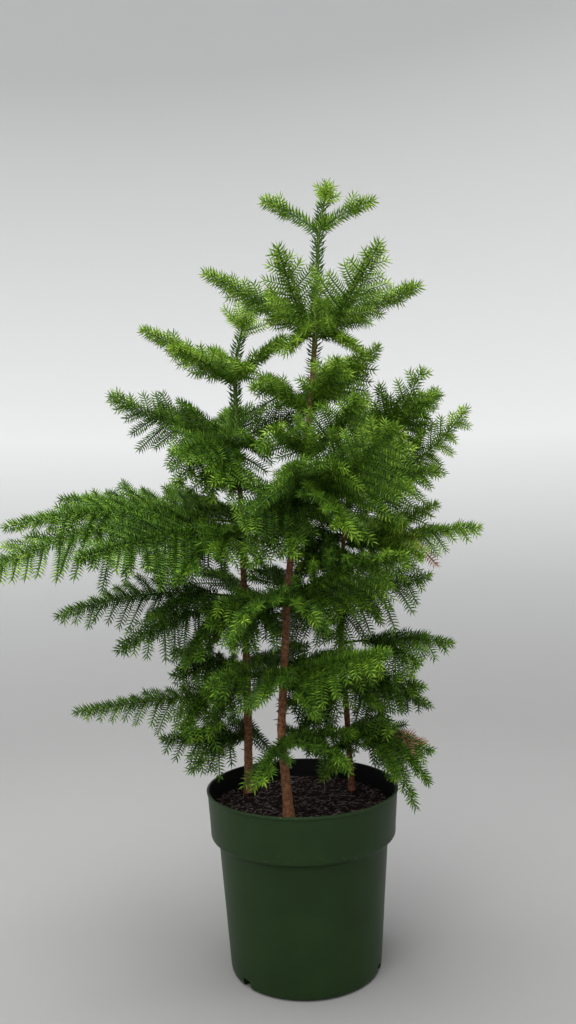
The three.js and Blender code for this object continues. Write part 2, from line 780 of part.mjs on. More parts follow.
// One mass: its first midrib starts on the stem's axis and the others fork from it near the
// stem. All are cut back by the stem with its gap.
function makeMass(row, index, clearTrunks) {
  const [stem, label, height, sprays, boughShare = 0] = row;
  const random = seeded(SEED + index * SEED_STEP);
  const others = taken.filter((other) => other.name !== `trunk_${stem}`);
  for (const key of Object.keys(STEMS)) {
    if (key !== stem) {
      others.push(clearTrunks[key]);
    }
  }
  const axis = trunkPoint(stem, height);
  const tipOf = ([compass, reach, tip]) => new THREE.Vector3(
    axis.x + reach * Math.cos(rad(compass)),
    axis.y + reach * Math.sin(rad(compass)),
    tip,
  );
  const trunk = trunkRadius(stem, height);
  const ribTo = (spray, foot) => new Midrib(foot, tipOf(spray), spray[3], spray[5], trunk);
  const [first, ...rest] = sprays;
  const rib = ribTo(first, axis);
  const gap = GAP / 2 / rib.length;
  const parts = [spraySolid(rib, boughShare > 0 ? boughShare + gap : 0, first[4], random, others)];
  const siblings = [{ body: parts[0], box: bounds(parts[0]) }];
  const fork = Math.max((trunk + RIB.pastTrunk) / rib.length, boughShare + RIB.pastBough);
  rest.forEach((spray) => {
    const branch = ribTo(spray, rib.point(fork));
    const part = spraySolid(branch, 0, spray[4], random, [...others, ...siblings]);
    parts.push(part);
    siblings.push({ body: part, box: bounds(part) });
  });
  let body = joined(parts);
  if (boughShare > 0) {
    const bough = stemSolid(rib, 0, boughShare - gap, rib.girth * RIB.boughFoot,
      rib.girth * RIB.boughTip, RIB.boughRings).subtract(clearTrunks[stem].body);
    addNode(`bough_${stem}_${label}`, whole(bough), COLOURS.bough, 0.7);
  } else {
    body = body.subtract(clearTrunks[stem].body);
  }
  addNode(`sprays_${stem}_${label}`, whole(body), COLOURS.needles, 0.6);
}

// The top of a stem: an upright tip with short twigs that lean out round it.
function makeTuft([stem, top, spread, count], index, clearTrunks) {
  const rows = STEMS[stem].path;
  const height = rows[rows.length - 1][0];
  const random = seeded(TUFT_SEED + index);
  const foot = trunkPoint(stem, height);
  foot.z += GAP;
  const lean = trunkPoint(stem, height).sub(trunkPoint(stem, height - TUFT.leanOver)).normalize();
  const tall = (top - foot.z) / lean.z;
  const east = new THREE.Vector3(0, 1, 0).cross(lean).normalize();
  const north = new THREE.Vector3().crossVectors(lean, east);
  const base = [90, 210, 330].map((a) => foot.clone()
    .addScaledVector(east, TUFT.stemRadius * Math.cos(rad(a)))
    .addScaledVector(north, TUFT.stemRadius * Math.sin(rad(a))));
  base.forEach((p) => p.setZ(foot.z));
  const mid = base.map((p) => p.clone().addScaledVector(lean, tall * TUFT.stemShare));
  const parts = [loft([base, mid])];
  const none = new THREE.Vector3();
  const start = foot.clone().addScaledVector(lean, tall * TUFT.tipFrom);
  parts.push(bladeSolid(start, lean, east, north, tall * (1 - TUFT.tipFrom), TUFT.tipReach,
    TUFT.tipThick, none));
  for (let k = 0; k < count; k += 1) {
    const turn = rad((360 * k) / count + TUFT.turnSpread * random());
    const out = east.clone().multiplyScalar(Math.cos(turn)).addScaledVector(north, Math.sin(turn));
    const rise = TUFT.twigRise + TUFT.twigRiseSpread * random();
    const way = out.clone().addScaledVector(lean, rise).normalize();
    const across = new THREE.Vector3().crossVectors(lean, way).normalize();
    const flat = new THREE.Vector3().crossVectors(way, across);
    const root = foot.clone().addScaledVector(lean, tall * (TUFT.twigFrom + TUFT.twigStep * k));
    parts.push(bladeSolid(root, way, across, flat, spread * (1 - TUFT.twigLoss * k),
      TUFT.twigReach, TUFT.twigThick, none));
  }
  const body = joined(parts).subtract(clearTrunks[stem].body);
  addNode(`tuft_${stem}`, whole(body), COLOURS.fresh, 0.6);
}

// ---------------------------------------------------------------- the whole plant

addNode("pot", makePot(), COLOURS.pot, 0.45);
addNode("soil", makeSoil(), COLOURS.soil, 0.95);
const clearTrunks = {};
for (const stem of Object.keys(STEMS)) {
  const body = trunkSolid(stem, TRUNK.clear);
  clearTrunks[stem] = { name: `clear_${stem}`, body, box: bounds(body) };
  addNode(`trunk_${stem}`, trunkSolid(stem, 0), COLOURS.bark, 0.85);
}
TUFTS.forEach((row, index) => makeTuft(row, index, clearTrunks));
MASSES.forEach((row, index) => makeMass(row, index, clearTrunks));

export default group;
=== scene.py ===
"""Norfolk island pine in its nursery pot: three seedling stems that share one root ball.

Every shape is worked out in millimetres, +Z up, from the plant's own growth rule: stems follow
smooth curves, flat sprays stand round them in tiers, twigs stand in two ranks along each spray's
midrib, and needles stand in a spiral round each twig. Meshes are put into Blender in metres.
"""
import math

import bpy
import numpy as np
from mathutils import Matrix, Vector


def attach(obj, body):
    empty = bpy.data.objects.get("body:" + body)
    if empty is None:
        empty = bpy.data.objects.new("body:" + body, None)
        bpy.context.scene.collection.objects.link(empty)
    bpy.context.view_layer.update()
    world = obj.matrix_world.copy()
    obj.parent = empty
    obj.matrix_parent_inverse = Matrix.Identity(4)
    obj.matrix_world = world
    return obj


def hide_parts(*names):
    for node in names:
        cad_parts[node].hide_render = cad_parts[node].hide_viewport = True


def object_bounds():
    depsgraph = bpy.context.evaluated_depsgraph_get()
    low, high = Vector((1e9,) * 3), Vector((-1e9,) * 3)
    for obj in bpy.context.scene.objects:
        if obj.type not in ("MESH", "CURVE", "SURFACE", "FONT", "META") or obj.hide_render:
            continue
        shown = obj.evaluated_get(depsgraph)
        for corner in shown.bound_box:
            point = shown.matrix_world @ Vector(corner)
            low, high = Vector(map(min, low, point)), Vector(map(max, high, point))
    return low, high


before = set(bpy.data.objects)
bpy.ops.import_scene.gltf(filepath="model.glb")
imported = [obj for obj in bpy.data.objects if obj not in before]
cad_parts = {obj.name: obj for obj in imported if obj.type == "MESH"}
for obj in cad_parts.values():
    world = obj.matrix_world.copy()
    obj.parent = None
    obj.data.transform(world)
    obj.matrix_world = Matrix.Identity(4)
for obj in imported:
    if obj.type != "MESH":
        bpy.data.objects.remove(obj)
CAD_BOX = [list(corner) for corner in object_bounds()]

# ---------------- named sizes, in millimetres

MM = 0.001
SEED = 4107
TUFT_SEED = 9107

POT = {
    "height": 248, "wall": 2.0, "floor": 2.5,
    "foot_radius": 101.5, "foot_corner": 105, "foot_corner_height": 5,
    "waist_radius": 118, "waist_height": 177,
    "band_foot_radius": 128.5, "band_foot_height": 187,
    "rim_radius": 132.5, "lip_radius": 134, "lip_height": 4,
    "notches": 3, "notch_turn": 220, "notch_width": 16, "notch_height": 12,
    "notch_corner": 3, "notch_from": 92.5, "notch_to": 116.0, "sides": 180,
}

# The soil: its level, how it sinks at the wall and heaps at the stems, and its lumps, each a
# height and a width. The fibres lie loose on it.
SOIL_TOP = 225
SOIL = {
    "below_top": 2.6, "sunk": 3.0, "sunk_from": 118, "sunk_over": 12, "heap": 2.6,
    "heap_radius": 16, "lumps": [(1.5, 17), (1.0, 6.5), (0.6, 2.9)], "clear_of_pot": 2.6,
    "rings": 56, "turns": 200,
}
FIBRES = {"count": 1500, "within": 124, "length": (3, 11), "width": (0.5, 1.1)}

# Each stem: where it runs (z, x, y), how thick it is (z, radius), and the height at which its
# brown bark gives way to green shoot.
STEMS = {
    "left": {
        "path": [(225, -78, 49), (360, -76.5, 47), (450, -77, 46), (620, -78.5, 44),
                 (740, -82, 43), (810, -83, 42), (853, -81, 41), (885, -74, 40)],
        "girth": [(225, 7.8), (240, 6.4), (360, 5.9), (450, 5.0), (720, 3.6), (850, 2.6),
                  (885, 1.8)],
        "green_from": 730,
    },
    "centre": {
        "path": [(225, -19, -70), (277, -22.5, -67), (335, -26.5, -62), (380, -24, -58),
                 (436, -20, -53), (513, -15, -46), (583, -6.5, -40), (640, 3, -35),
                 (755, 21, -25), (854, 31, -18), (990, 39.5, -8), (1033, 43.5, -5),
                 (1062, 50, -3)],
        "girth": [(225, 8.6), (246, 6.9), (335, 5.6), (450, 5.1), (600, 4.5), (800, 3.9),
                  (1000, 2.5), (1062, 1.7)],
        "green_from": 880,
    },
    "right": {
        "path": [(225, 73, 50), (282, 70, 50), (327, 68.5, 50), (428, 63, 50), (478, 61.5, 50),
                 (590, 70, 52), (706, 86, 54), (770, 99, 55)],
        "girth": [(225, 6.0), (240, 4.7), (330, 4.2), (480, 3.4), (700, 2.6), (770, 1.8)],
        "green_from": 640,
    },
}

# Masses of each stem: (label, height at the stem, freshness, sprays, bough). Freshness runs from
# 0 deep green to 1 new yellow-green, and None follows the height. A spray is (compass, reach,
# height of the tip, arch, breadth to one side, roll), with compass 0 along +X and 90 at the back.
# The bough is the bare foot of the first spray, as a share of its length.
MASSES = {}
MASSES["left"] = [
    ("2a", 824, 0.60, [(182, 140, 904, 4, 32, -40)], 0),
    ("2b", 820, 0.54, [(226, 122, 862, 4, 34, -20), (288, 78, 836, 0, 34, 28)], 0),
    ("2c", 828, 0.54, [(24, 86, 897, 0, 32, 25), (108, 105, 888, -4, 42, -26)], 0),
    ("3a", 735, 0.42, [(182, 190, 812, -10, 64, -48)], 0),
    ("3b", 724, 0.38, [(238, 142, 704, 16, 60, 30), (294, 105, 718, 8, 46, 32),
     (262, 130, 668, 8, 54, 24), (218, 112, 664, 18, 54, 34), (246, 90, 640, 14, 50, -22)], 0),
    ("3c", 738, None, [(20, 130, 786, 4, 52, 45)], 0),
    ("3d", 745, None, [(98, 178, 804, 0, 60, 26), (142, 178, 794, 0, 56, -30)], 0),
    ("4a", 618, 0.42, [(207, 388, 550, 34, 86, 34), (179, 190, 600, 8, 58, 24),
     (201, 338, 618, 16, 44, 40)], 0.13),
    ("4b", 628, 0.36, [(175, 278, 660, 2, 64, 40)], 0),
    ("4c", 606, 0.35, [(227, 290, 576, 12, 72, 32), (262, 165, 570, 12, 56, 28),
     (244, 180, 540, 20, 60, -26), (214, 150, 550, 14, 56, 34)], 0),
    ("4d", 632, None, [(120, 258, 668, 0, 72, -24), (52, 150, 660, 0, 54, 26)], 0),
    ("5a", 508, 0.34, [(184, 278, 487, 20, 54, 38), (163, 160, 474, 8, 54, 24)], 0.14),
    ("5b", 500, 0.30, [(214, 207, 448, 16, 50, 34), (254, 138, 480, 10, 50, 26),
     (236, 140, 424, 18, 50, -24), (264, 96, 438, 14, 46, 30)], 0),
    ("5c", 512, None, [(104, 222, 532, 4, 64, -22), (330, 62, 452, 6, 42, 10),
     (120, 112, 428, 10, 52, 24)], 0),
    ("6a", 370, 0.36, [(186, 255, 352, 4, 38, 26), (226, 125, 330, 8, 46, 24)], 0.16),
    ("6b", 404, 0.30, [(150, 140, 424, 0, 46, 24), (76, 150, 396, 4, 50, 24),
     (206, 118, 402, 10, 46, 30), (244, 116, 378, 14, 46, 26), (242, 98, 326, 12, 44, -24),
     (146, 106, 322, 8, 44, -20)], 0),
    ("7a", 300, 0.32, [(196, 132, 312, 4, 44, 30), (226, 112, 268, 24, 38, 22),
     (92, 112, 300, 6, 42, -22), (150, 120, 290, 8, 42, -24)], 0),
]
MASSES["centre"] = [
    ("1a", 1022, 0.60, [(172, 86, 1074, 6, 24, -30)], 0),
    ("1b", 1024, 0.60, [(6, 86, 1070, 6, 22, 30), (82, 72, 1066, -2, 20, 24)], 0),
    ("2a", 872, 0.56, [(186, 158, 966, 4, 36, -25), (246, 124, 974, -6, 44, -22),
     (236, 66, 842, 8, 42, -24)], 0),
    ("2b", 870, 0.56, [(355, 154, 940, 6, 38, 25), (306, 144, 976, -8, 52, 15),
     (308, 80, 846, 8, 44, 26)], 0),
    ("2c", 880, None, [(78, 122, 958, -4, 46, 22), (128, 118, 962, -4, 42, -22)], 0),
    ("3a", 772, None, [(342, 104, 856, -4, 38, 30), (288, 118, 826, -4, 48, 24),
     (322, 96, 846, -4, 38, 20)], 0),
    ("3b", 768, None, [(198, 88, 804, 8, 32, -30), (120, 118, 836, 0, 46, -22),
     (72, 118, 852, -2, 48, 24)], 0),
    ("4a", 622, 0.42, [(312, 192, 738, -4, 88, 50), (294, 150, 606, 12, 62, 28),
     (296, 128, 690, 4, 60, 34)], 0.2),
    ("4b", 644, 0.33, [(268, 158, 692, 4, 68, -20), (226, 116, 612, 14, 56, 34),
     (202, 82, 576, 16, 54, 34), (234, 100, 556, 24, 52, 28), (262, 92, 566, 18, 52, -26)], 0),
    ("4c", 652, None, [(349, 160, 664, 4, 60, -26)], 0),
    ("4d", 640, None, [(94, 190, 708, 0, 66, 22), (154, 150, 690, 0, 56, -26),
     (64, 140, 604, 6, 58, 26), (80, 140, 556, 8, 56, 24)], 0),
    ("4e", 704, 0.46, [(301, 138, 776, -4, 62, 24), (246, 108, 742, 0, 50, -26)], 0),
    ("5a", 515, 0.40, [(326, 188, 576, 8, 66, 35), (356, 140, 532, 6, 54, -26)], 0),
    ("5b", 508, 0.32, [(246, 150, 498, 14, 56, -28), (284, 128, 502, 10, 54, 28),
     (198, 104, 506, 8, 46, 28), (222, 110, 456, 16, 50, 24)], 0),
    ("5c", 520, None, [(96, 180, 544, 4, 60, -22), (60, 126, 438, 8, 52, 24)], 0),
    ("6a", 408, 0.40, [(321, 178, 458, 4, 48, -26), (350, 140, 424, 6, 46, -24)], 0),
    ("6b", 416, 0.33, [(198, 112, 404, 8, 42, 26), (258, 112, 402, 8, 42, -24),
     (292, 106, 376, 10, 42, 28)], 0),
    ("6c", 424, None, [(88, 150, 432, 4, 50, 24), (16, 120, 430, 6, 42, 24),
     (36, 92, 372, 8, 44, 22), (46, 96, 316, 10, 44, 22)], 0),
    ("7a", 326, 0.34, [(313, 124, 318, 10, 46, 24), (252, 96, 290, 14, 42, -26),
     (18, 110, 324, 6, 42, 24), (62, 112, 300, 8, 42, -20)], 0),
]
MASSES["right"] = [
    ("1a", 738, 0.48, [(350, 128, 806, -8, 58, 30), (322, 118, 838, -30, 60, 45),
     (338, 124, 802, -16, 52, 40), (92, 112, 800, -2, 46, 24)], 0),
    ("2a", 668, 0.56, [(4, 186, 788, -30, 74, 48)], 0),
    ("2b", 676, 0.44, [(300, 140, 722, 0, 62, 26), (344, 136, 682, 4, 50, -28),
     (296, 122, 596, 18, 52, -24)], 0),
    ("2c", 680, None, [(72, 190, 722, 0, 66, -24)], 0),
    ("3a", 582, 0.52, [(353, 206, 604, 2, 52, -30), (322, 140, 562, 8, 54, -26),
     (2, 146, 644, -4, 46, -28)], 0),
    ("3b", 590, None, [(62, 205, 616, 2, 66, -22), (146, 120, 600, 4, 48, -24),
     (192, 78, 560, 8, 44, -28)], 0),
    ("3c", 558, None, [(286, 130, 552, 8, 54, 26), (226, 110, 544, 12, 52, -28),
     (246, 92, 492, 14, 50, 24)], 0),
    ("4a", 438, None, [(351, 168, 435, 8, 46, -26), (324, 132, 410, 10, 50, -24)], 0.18),
    ("4b", 498, None, [(338, 140, 536, 6, 58, -44), (74, 172, 500, 4, 58, -24),
     (196, 104, 480, 8, 50, -26), (264, 84, 440, 10, 44, 24)], 0),
    ("5a", 378, None, [(334, 126, 378, 8, 46, -26), (288, 104, 368, 8, 42, 26),
     (60, 148, 370, 6, 50, -22), (8, 132, 336, 10, 46, 24), (194, 96, 352, 8, 44, -24),
     (312, 96, 316, 14, 44, -24), (184, 74, 304, 8, 40, -22)], 0),
    ("6a", 304, 0.34, [(346, 126, 278, 16, 46, -26), (315, 126, 208, 42, 30, 0),
     (300, 126, 262, 20, 36, 26), (72, 104, 290, 8, 42, 22), (12, 116, 256, 20, 42, 22),
     (246, 92, 264, 12, 40, -24), (334, 128, 236, 30, 40, 20)], 0),
]

# The soft green top of each stem: how high it stands, its twigs' spread and their number.
TUFTS = [("left", 938, 52, 6), ("centre", 1097, 30, 6), ("right", 812, 34, 5)]
TUFT = {
    "sunk": 3, "radius": 1.7, "tip_radius": 0.9, "fresh": 0.74, "turn_spread": 20, "rise": 0.3,
    "rise_spread": 0.25, "first": 0.2, "next": 0.06, "loss": 0.04, "out": 0.86, "curl": 0.16,
    "twig_radius": 0.9, "twig_tip": 0.5, "twig_fresh": 0.76, "above": 0.3, "lean_over": 12.0,
}

# Midribs and twigs. Shares are of the midrib's length, angles are in degrees.
RIB = {"radius": 2.1, "full_length": 200, "tip_radius": 0.75, "past_trunk": 7, "past_bough": 0.04}
TWIG = {
    "pitch": 19.0, "young_pitch": 20.0, "first": 0.13, "young_first": 0.42, "past_start": 14,
    "last": 0.93, "young_last": 0.84, "radius": 1.1, "tip_radius": 0.6,
    "angle": 70, "angle_spread": 22, "angle_fall": 14, "lift": 0.35, "lift_below": 0.45,
    "least": 0.76, "spread": 0.36, "forward_bend": 0.12, "end_clear": 1.5, "shortest": 4.0,
    "thinnest": 0.6, "thick_at": 90, "fresh_spread": 0.04, "fresh_out": 0.4, "fresh_from": 0.55,
}
OUTLINE = {"at_foot": 0.55, "growth": 1.8, "ends_at": 1.05, "fall_over": 0.6}
HANG = {"level_at": 820, "height_per_share": 620, "least": -0.6, "most": 0.12,
        "rising_share": 0.35}

# A spray is young from the first height, as far as the second, where it has hardly forked yet.
YOUNG = (840, 1010)

# Needles: so many to a millimetre of twig, each an incurved awl. They are longest at the top.
NEEDLE = {
    "to_a_mm": 1.4, "rib_to_a_mm": 2.1, "length": 11.0, "long": 13.0, "long_from": 560,
    "long_at": 900, "on_rib": 1.1, "width": 1.6, "waist_at": 0.4, "bow": 0.1, "keel": 0.35,
    "angle": 68, "tip_angle": 26, "closing": 8, "end_clear": 8.5,
    "rank_turn": 144, "rib_turn": 137.5, "rank_drift": 0.5, "flatten": 0.8, "fresh_end": 26,
    "first_turn": 18, "turn_spread": 7, "angle_spread": 3, "sunk": 0.5,
    "length_spread": (0.9, 1.06), "width_spread": (0.9, 1.15), "tone_spread": 0.085,
}
GOLDEN_TURN = math.radians(137.508)

# Needles on the stems: a full coat on green shoot, and fewer on bark, fewest near the soil.
STEM_COAT = {
    "above_soil": 30, "pitch": 0.72, "thickens_over": 90, "least": 0.12, "older": 0.4,
    "older_from": 330, "older_over": 110, "rise": 8, "young_rise": 34, "length": 9.0,
    "young_length": 5.0, "young_width": 0.2, "sunk": 0.7,
}

# Bark: the grid's row and sides, a spiral of scars, and rough noise in two sizes.
BARK_RELIEF = {
    "row": 1.9, "sides": 24, "scar_every": 1.7, "scar_wide": 1.3, "scar_tall": 2.2,
    "depth": 0.34, "scar_share": 1.1, "rough_share": 0.7, "fine": 2.4, "coarse": 5.5,
    "coarse_share": 0.8, "green_before": 60, "green_over": 90, "green_smooth": 0.6,
}

# Freshness of a mass that follows its height, at the lowest and the highest.
FRESH_LOW, FRESH_HIGH = 0.30, 0.62

# Dead twigs: a mass and one of its sprays, and the shares of the midrib that they stand between.
DRY = {("right_6a", 0): (0.50, 0.74), ("right_3a", 0): (0.36, 0.46)}


# ---------------- small tools

def unit(v):
    """Each row of v divided by its length."""
    return v / np.maximum(np.linalg.norm(v, axis=-1, keepdims=True), 1e-9)


def smooth_rows(rows, z):
    """Columns of rows (z, a, b...) at the heights z: cubic pieces with the neighbours' slopes."""
    rows = np.asarray(rows, float)
    knots, values = rows[:, 0], rows[:, 1:]
    last = len(rows) - 1
    z = np.clip(np.asarray(z, float), knots[0], knots[-1])
    before = np.maximum(np.arange(last + 1) - 1, 0)
    after = np.minimum(np.arange(last + 1) + 1, last)
    slope = (values[after] - values[before]) / (knots[after] - knots[before])[:, None]
    i = np.clip(np.searchsorted(knots, z, side="right") - 1, 0, last - 1)
    span = (knots[i + 1] - knots[i])[..., None]
    t = (z - knots[i])[..., None] / span
    ease = t * t * (3 - 2 * t)
    bend = slope[i] * (t - 2 * t * t + t ** 3) + slope[i + 1] * (t ** 3 - t * t)
    return values[i] + (values[i + 1] - values[i]) * ease + bend * span


def stem_axis(stem, z):
    """The middle of a stem at the heights z."""
    z = np.asarray(z, float)
    xy = smooth_rows(STEMS[stem]["path"], z)
    return np.concatenate([xy, z[..., None]], axis=-1)


def stem_radius(stem, z):
    """The radius of a stem at the heights z."""
    return smooth_rows(STEMS[stem]["girth"], z)[..., 0]


def value_noise(points, cell, seed):
    """Smooth noise from -1 to 1: random values on a lattice of that cell, blended between."""
    grid = np.random.default_rng(seed).uniform(-1, 1, (16, 16, 16))
    p = np.asarray(points, float) / cell
    low = np.floor(p).astype(int)
    t = p - low
    t = t * t * (3 - 2 * t)
    total = np.zeros(len(p))
    for corner in np.ndindex(2, 2, 2):
        weight = np.prod(np.where(corner, t, 1 - t), axis=1)
        x, y, z = ((low + corner) % 16).T
        total += weight * grid[x, y, z]
    return total


def seeded(seed):
    """Draws from 0 to 1 by the growth rule's own generator."""
    state = seed
    while True:
        state = (state * 1664525 + 1013904223) % 2 ** 32
        yield state / 2 ** 32


def mark(mesh, **attributes):
    """Writes a value for each point of a mesh, under each attribute's name."""
    for key, values in attributes.items():
        layer = mesh.attributes.get(key) or mesh.attributes.new(key, "FLOAT", "POINT")
        layer.data.foreach_set("value", np.asarray(values, np.float32))


def put_mesh(name, points, faces, material, smooth=True, **attributes):
    """Points (n, 3) in millimetres and faces (m, 3 or 4) become a mesh object in metres."""
    mesh = bpy.data.meshes.new(name)
    mesh.vertices.add(len(points))
    mesh.vertices.foreach_set("co", (points * MM).astype(np.float32).ravel())
    mesh.loops.add(faces.size)
    mesh.loops.foreach_set("vertex_index", faces.astype(np.int32).ravel())
    mesh.polygons.add(len(faces))
    mesh.polygons.foreach_set("loop_start", np.arange(0, faces.size, faces.shape[1]))
    mesh.polygons.foreach_set("use_smooth", np.full(len(faces), smooth))
    mark(mesh, **attributes)
    mesh.update()
    mesh.validate()
    mesh.materials.append(material)
    made = bpy.data.objects.new(name, mesh)
    bpy.context.scene.collection.objects.link(made)
    return made


def keep(piece, slot, *nodes):
    """The piece rides on the plant's one body and stands for its nodes. Its slot is not used."""
    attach(piece, "root")
    if nodes:
        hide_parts(*nodes)
    return piece


def outward(points, faces):
    """Triangles turned to look out, by the sign of the closed shape's volume."""
    a, b, c = (points[faces[:, k]] for k in range(3))
    volume = np.einsum("ij,ij->i", a, np.cross(b, c)).sum()
    return faces[:, ::-1] if volume < 0 else faces


def grid_faces(rows, columns):
    """Quads of a grid of points, row by row, whose last column joins the first."""
    r = np.arange(rows - 1)[:, None]
    c = np.arange(columns)[None, :]
    d = (c + 1) % columns
    quads = np.stack([r * columns + c, r * columns + d, (r + 1) * columns + d,
                      (r + 1) * columns + c], axis=-1)
    return quads.reshape(-1, 4)


def split(quads):
    """Each quad as two triangles."""
    return np.concatenate([quads[:, [0, 1, 2]], quads[:, [0, 2, 3]]])


def closed_grid(rows, columns):
    """Triangles of a grid that wraps round. Two points after it close its first and last row."""
    size = rows * columns
    near = np.arange(columns)
    far = (near + 1) % columns
    last = size - columns
    caps = np.concatenate([
        np.stack([np.full(columns, size), far, near], axis=1),
        np.stack([np.full(columns, size + 1), last + near, last + far], axis=1),
    ])
    return np.concatenate([split(grid_faces(rows, columns)), caps])


def closed_body(grid, ends):
    """A closed body from a grid of points that wraps round, and a point to close each end."""
    points = np.concatenate([grid.reshape(-1, 3), ends])
    return points, outward(points, closed_grid(*grid.shape[:2]))


# ---------------- materials

def linear(code):
    """An sRGB hex colour as linear values with full alpha."""
    value = np.array([int(code[k:k + 2], 16) for k in (0, 2, 4)]) / 255
    value = np.where(value <= 0.04045, value / 12.92, ((value + 0.055) / 1.055) ** 2.4)
    return (*value.tolist(), 1.0)


def add(tree, kind, inputs=None, stops=(), **settings):
    """Adds a node with its settings. Each input is a value, or a socket to link from.

    Stops are a colour ramp's colours, as (place, hex colour)."""
    made = tree.nodes.new(kind)
    for key, value in settings.items():
        setattr(made, key, value)
    for socket, value in (inputs or {}).items():
        if isinstance(value, bpy.types.NodeSocket):
            tree.links.new(value, made.inputs[socket])
        else:
            made.inputs[socket].default_value = value
    if stops:
        band = made.color_ramp.elements
        while len(band) < len(stops):
            band.new(0.5)
        for element, (at, code) in zip(band, stops):
            element.position = at
            element.color = linear(code)
    return made


def new_material(name, **inputs):
    """A named material with its Principled shader, whose sockets take the given values."""
    material = bpy.data.materials.new(name)
    material.use_nodes = True
    shader = material.node_tree.nodes["Principled BSDF"]
    for socket, value in inputs.items():
        shader.inputs[socket.replace("_", " ")].default_value = value
    return material, material.node_tree, shader


def lumps(tree, size_mm, detail, roughness=0.55):
    """A pattern on the piece itself, whose lumps are about that many millimetres across."""
    made = add(tree, "ShaderNodeTexNoise", {
        "Vector": add(tree, "ShaderNodeTexCoord").outputs["Object"],
        "Scale": 1 / (size_mm * MM), "Detail": detail, "Roughness": roughness,
    })
    return made.outputs["Fac"]


def mottled(tree, pattern, *stops):
    """Colours dealt out by a pattern's value, between stops of (value, hex colour)."""
    return add(tree, "ShaderNodeValToRGB", {"Fac": pattern}, stops).outputs["Color"]


def laid_over(tree, under, over, where):
    """One colour laid over another where the attribute of that name, or a pattern, is 1."""
    if isinstance(where, str):
        where = add(tree, "ShaderNodeAttribute", attribute_name=where).outputs["Fac"]
    return add(tree, "ShaderNodeMix", {0: where, 6: under, 7: over}, data_type="RGBA").outputs[2]


def grain(shader, tree, pattern, depth_mm, strength):
    """Gives the shader a fine relief of that depth, too small for the mesh."""
    made = add(tree, "ShaderNodeBump", {
        "Height": pattern, "Distance": depth_mm * MM, "Strength": strength,
    })
    tree.links.new(made.outputs["Normal"], shader.inputs["Normal"])


def waxy_needle(name, code, shade):
    """A living needle is a waxy cuticle over green tissue: a clear colour with a soft sheen.

    The colour wanders a little over a few centimetres, as it does between twigs."""
    material, tree, shader = new_material(name, Roughness=0.6, IOR=1.42, Specular_IOR_Level=0.2)
    colour = mottled(tree, lumps(tree, 28, 1.0), (0.3, shade), (0.7, code))
    tree.links.new(colour, shader.inputs["Base Color"])
    return material


def flaking_bark():
    """Young conifer bark: thin reddish-brown flakes round dark needle scars, green near the top.

    The attribute scar is 1 on a scar, and green is 1 where the shoot has no bark yet."""
    material, tree, shader = new_material("flaking_bark", Roughness=0.82)
    flakes = mottled(tree, lumps(tree, 5, 5.0, 0.7), (0.28, "3d2414"), (0.5, "7d4f30"),
                     (0.72, "a5774f"))
    shoot = mottled(tree, lumps(tree, 6, 3.0), (0.3, "3f5a1c"), (0.7, "6f8a2e"))
    scarred = laid_over(tree, flakes, linear("2a170d"), "scar")
    tree.links.new(laid_over(tree, scarred, shoot, "green"), shader.inputs["Base Color"])
    grain(shader, tree, lumps(tree, 1.6, 4.0, 0.7), 0.5, 0.7)
    return material


def green_shoot():
    """A twig's first-year skin: thin, smooth and yellow-green, paler where it is older."""
    material, tree, shader = new_material("green_shoot", Roughness=0.7, Specular_IOR_Level=0.2)
    young = mottled(tree, lumps(tree, 9, 2.0), (0.3, "41621c"), (0.7, "587f28"))
    old = mottled(tree, lumps(tree, 4, 4.0), (0.3, "4f6622"), (0.7, "72862e"))
    tree.links.new(laid_over(tree, young, old, "age"), shader.inputs["Base Color"])
    return material


def moulded_polypropylene():
    """Injection-moulded polypropylene, dark green outside, its inner wall coloured near-black: a
    low satin gloss over a very fine mould grain, with pale dust and rub marks where it has been
    handled.

    The attribute worn is 1 on its edges, and inside is 1 on the inner wall."""
    material, tree, shader = new_material("moulded_polypropylene", Roughness=0.45, IOR=1.49,
                                          Specular_IOR_Level=0.24)
    green = mottled(tree, lumps(tree, 60, 4.0), (0.3, "162c0c"), (0.7, "1b330f"))
    specks = mottled(tree, lumps(tree, 3, 6.0, 0.8), (0.60, "000000"), (0.75, "ffffff"))
    worn = add(tree, "ShaderNodeAttribute", attribute_name="worn").outputs["Fac"]
    rub = add(tree, "ShaderNodeMath", {0: specks, 1: worn}, operation="MULTIPLY").outputs[0]
    dusty = laid_over(tree, green, linear("8f9a80"), rub)
    skin = laid_over(tree, dusty, linear("0d0e0d"), "inside")
    tree.links.new(skin, shader.inputs["Base Color"])
    grain(shader, tree, lumps(tree, 0.8, 2.0), 0.05, 0.5)
    return material


def damp_peat():
    """Milled peat, damp: dark red-brown crumbs, quite matt."""
    material, tree, shader = new_material("damp_peat", Roughness=0.95, Specular_IOR_Level=0.1)
    crumbs = mottled(tree, lumps(tree, 7, 8.0, 0.75), (0.3, "0a0403"), (0.52, "190c08"),
                     (0.72, "2c1810"))
    tree.links.new(crumbs, shader.inputs["Base Color"])
    grain(shader, tree, lumps(tree, 2.5, 8.0, 0.8), 2.0, 1.0)
    return material


def dry_matter(name, code, roughness):
    """Dead plant matter, bleached and matt: one plain colour."""
    return new_material(name, Base_Color=linear(code), Roughness=roughness)[0]


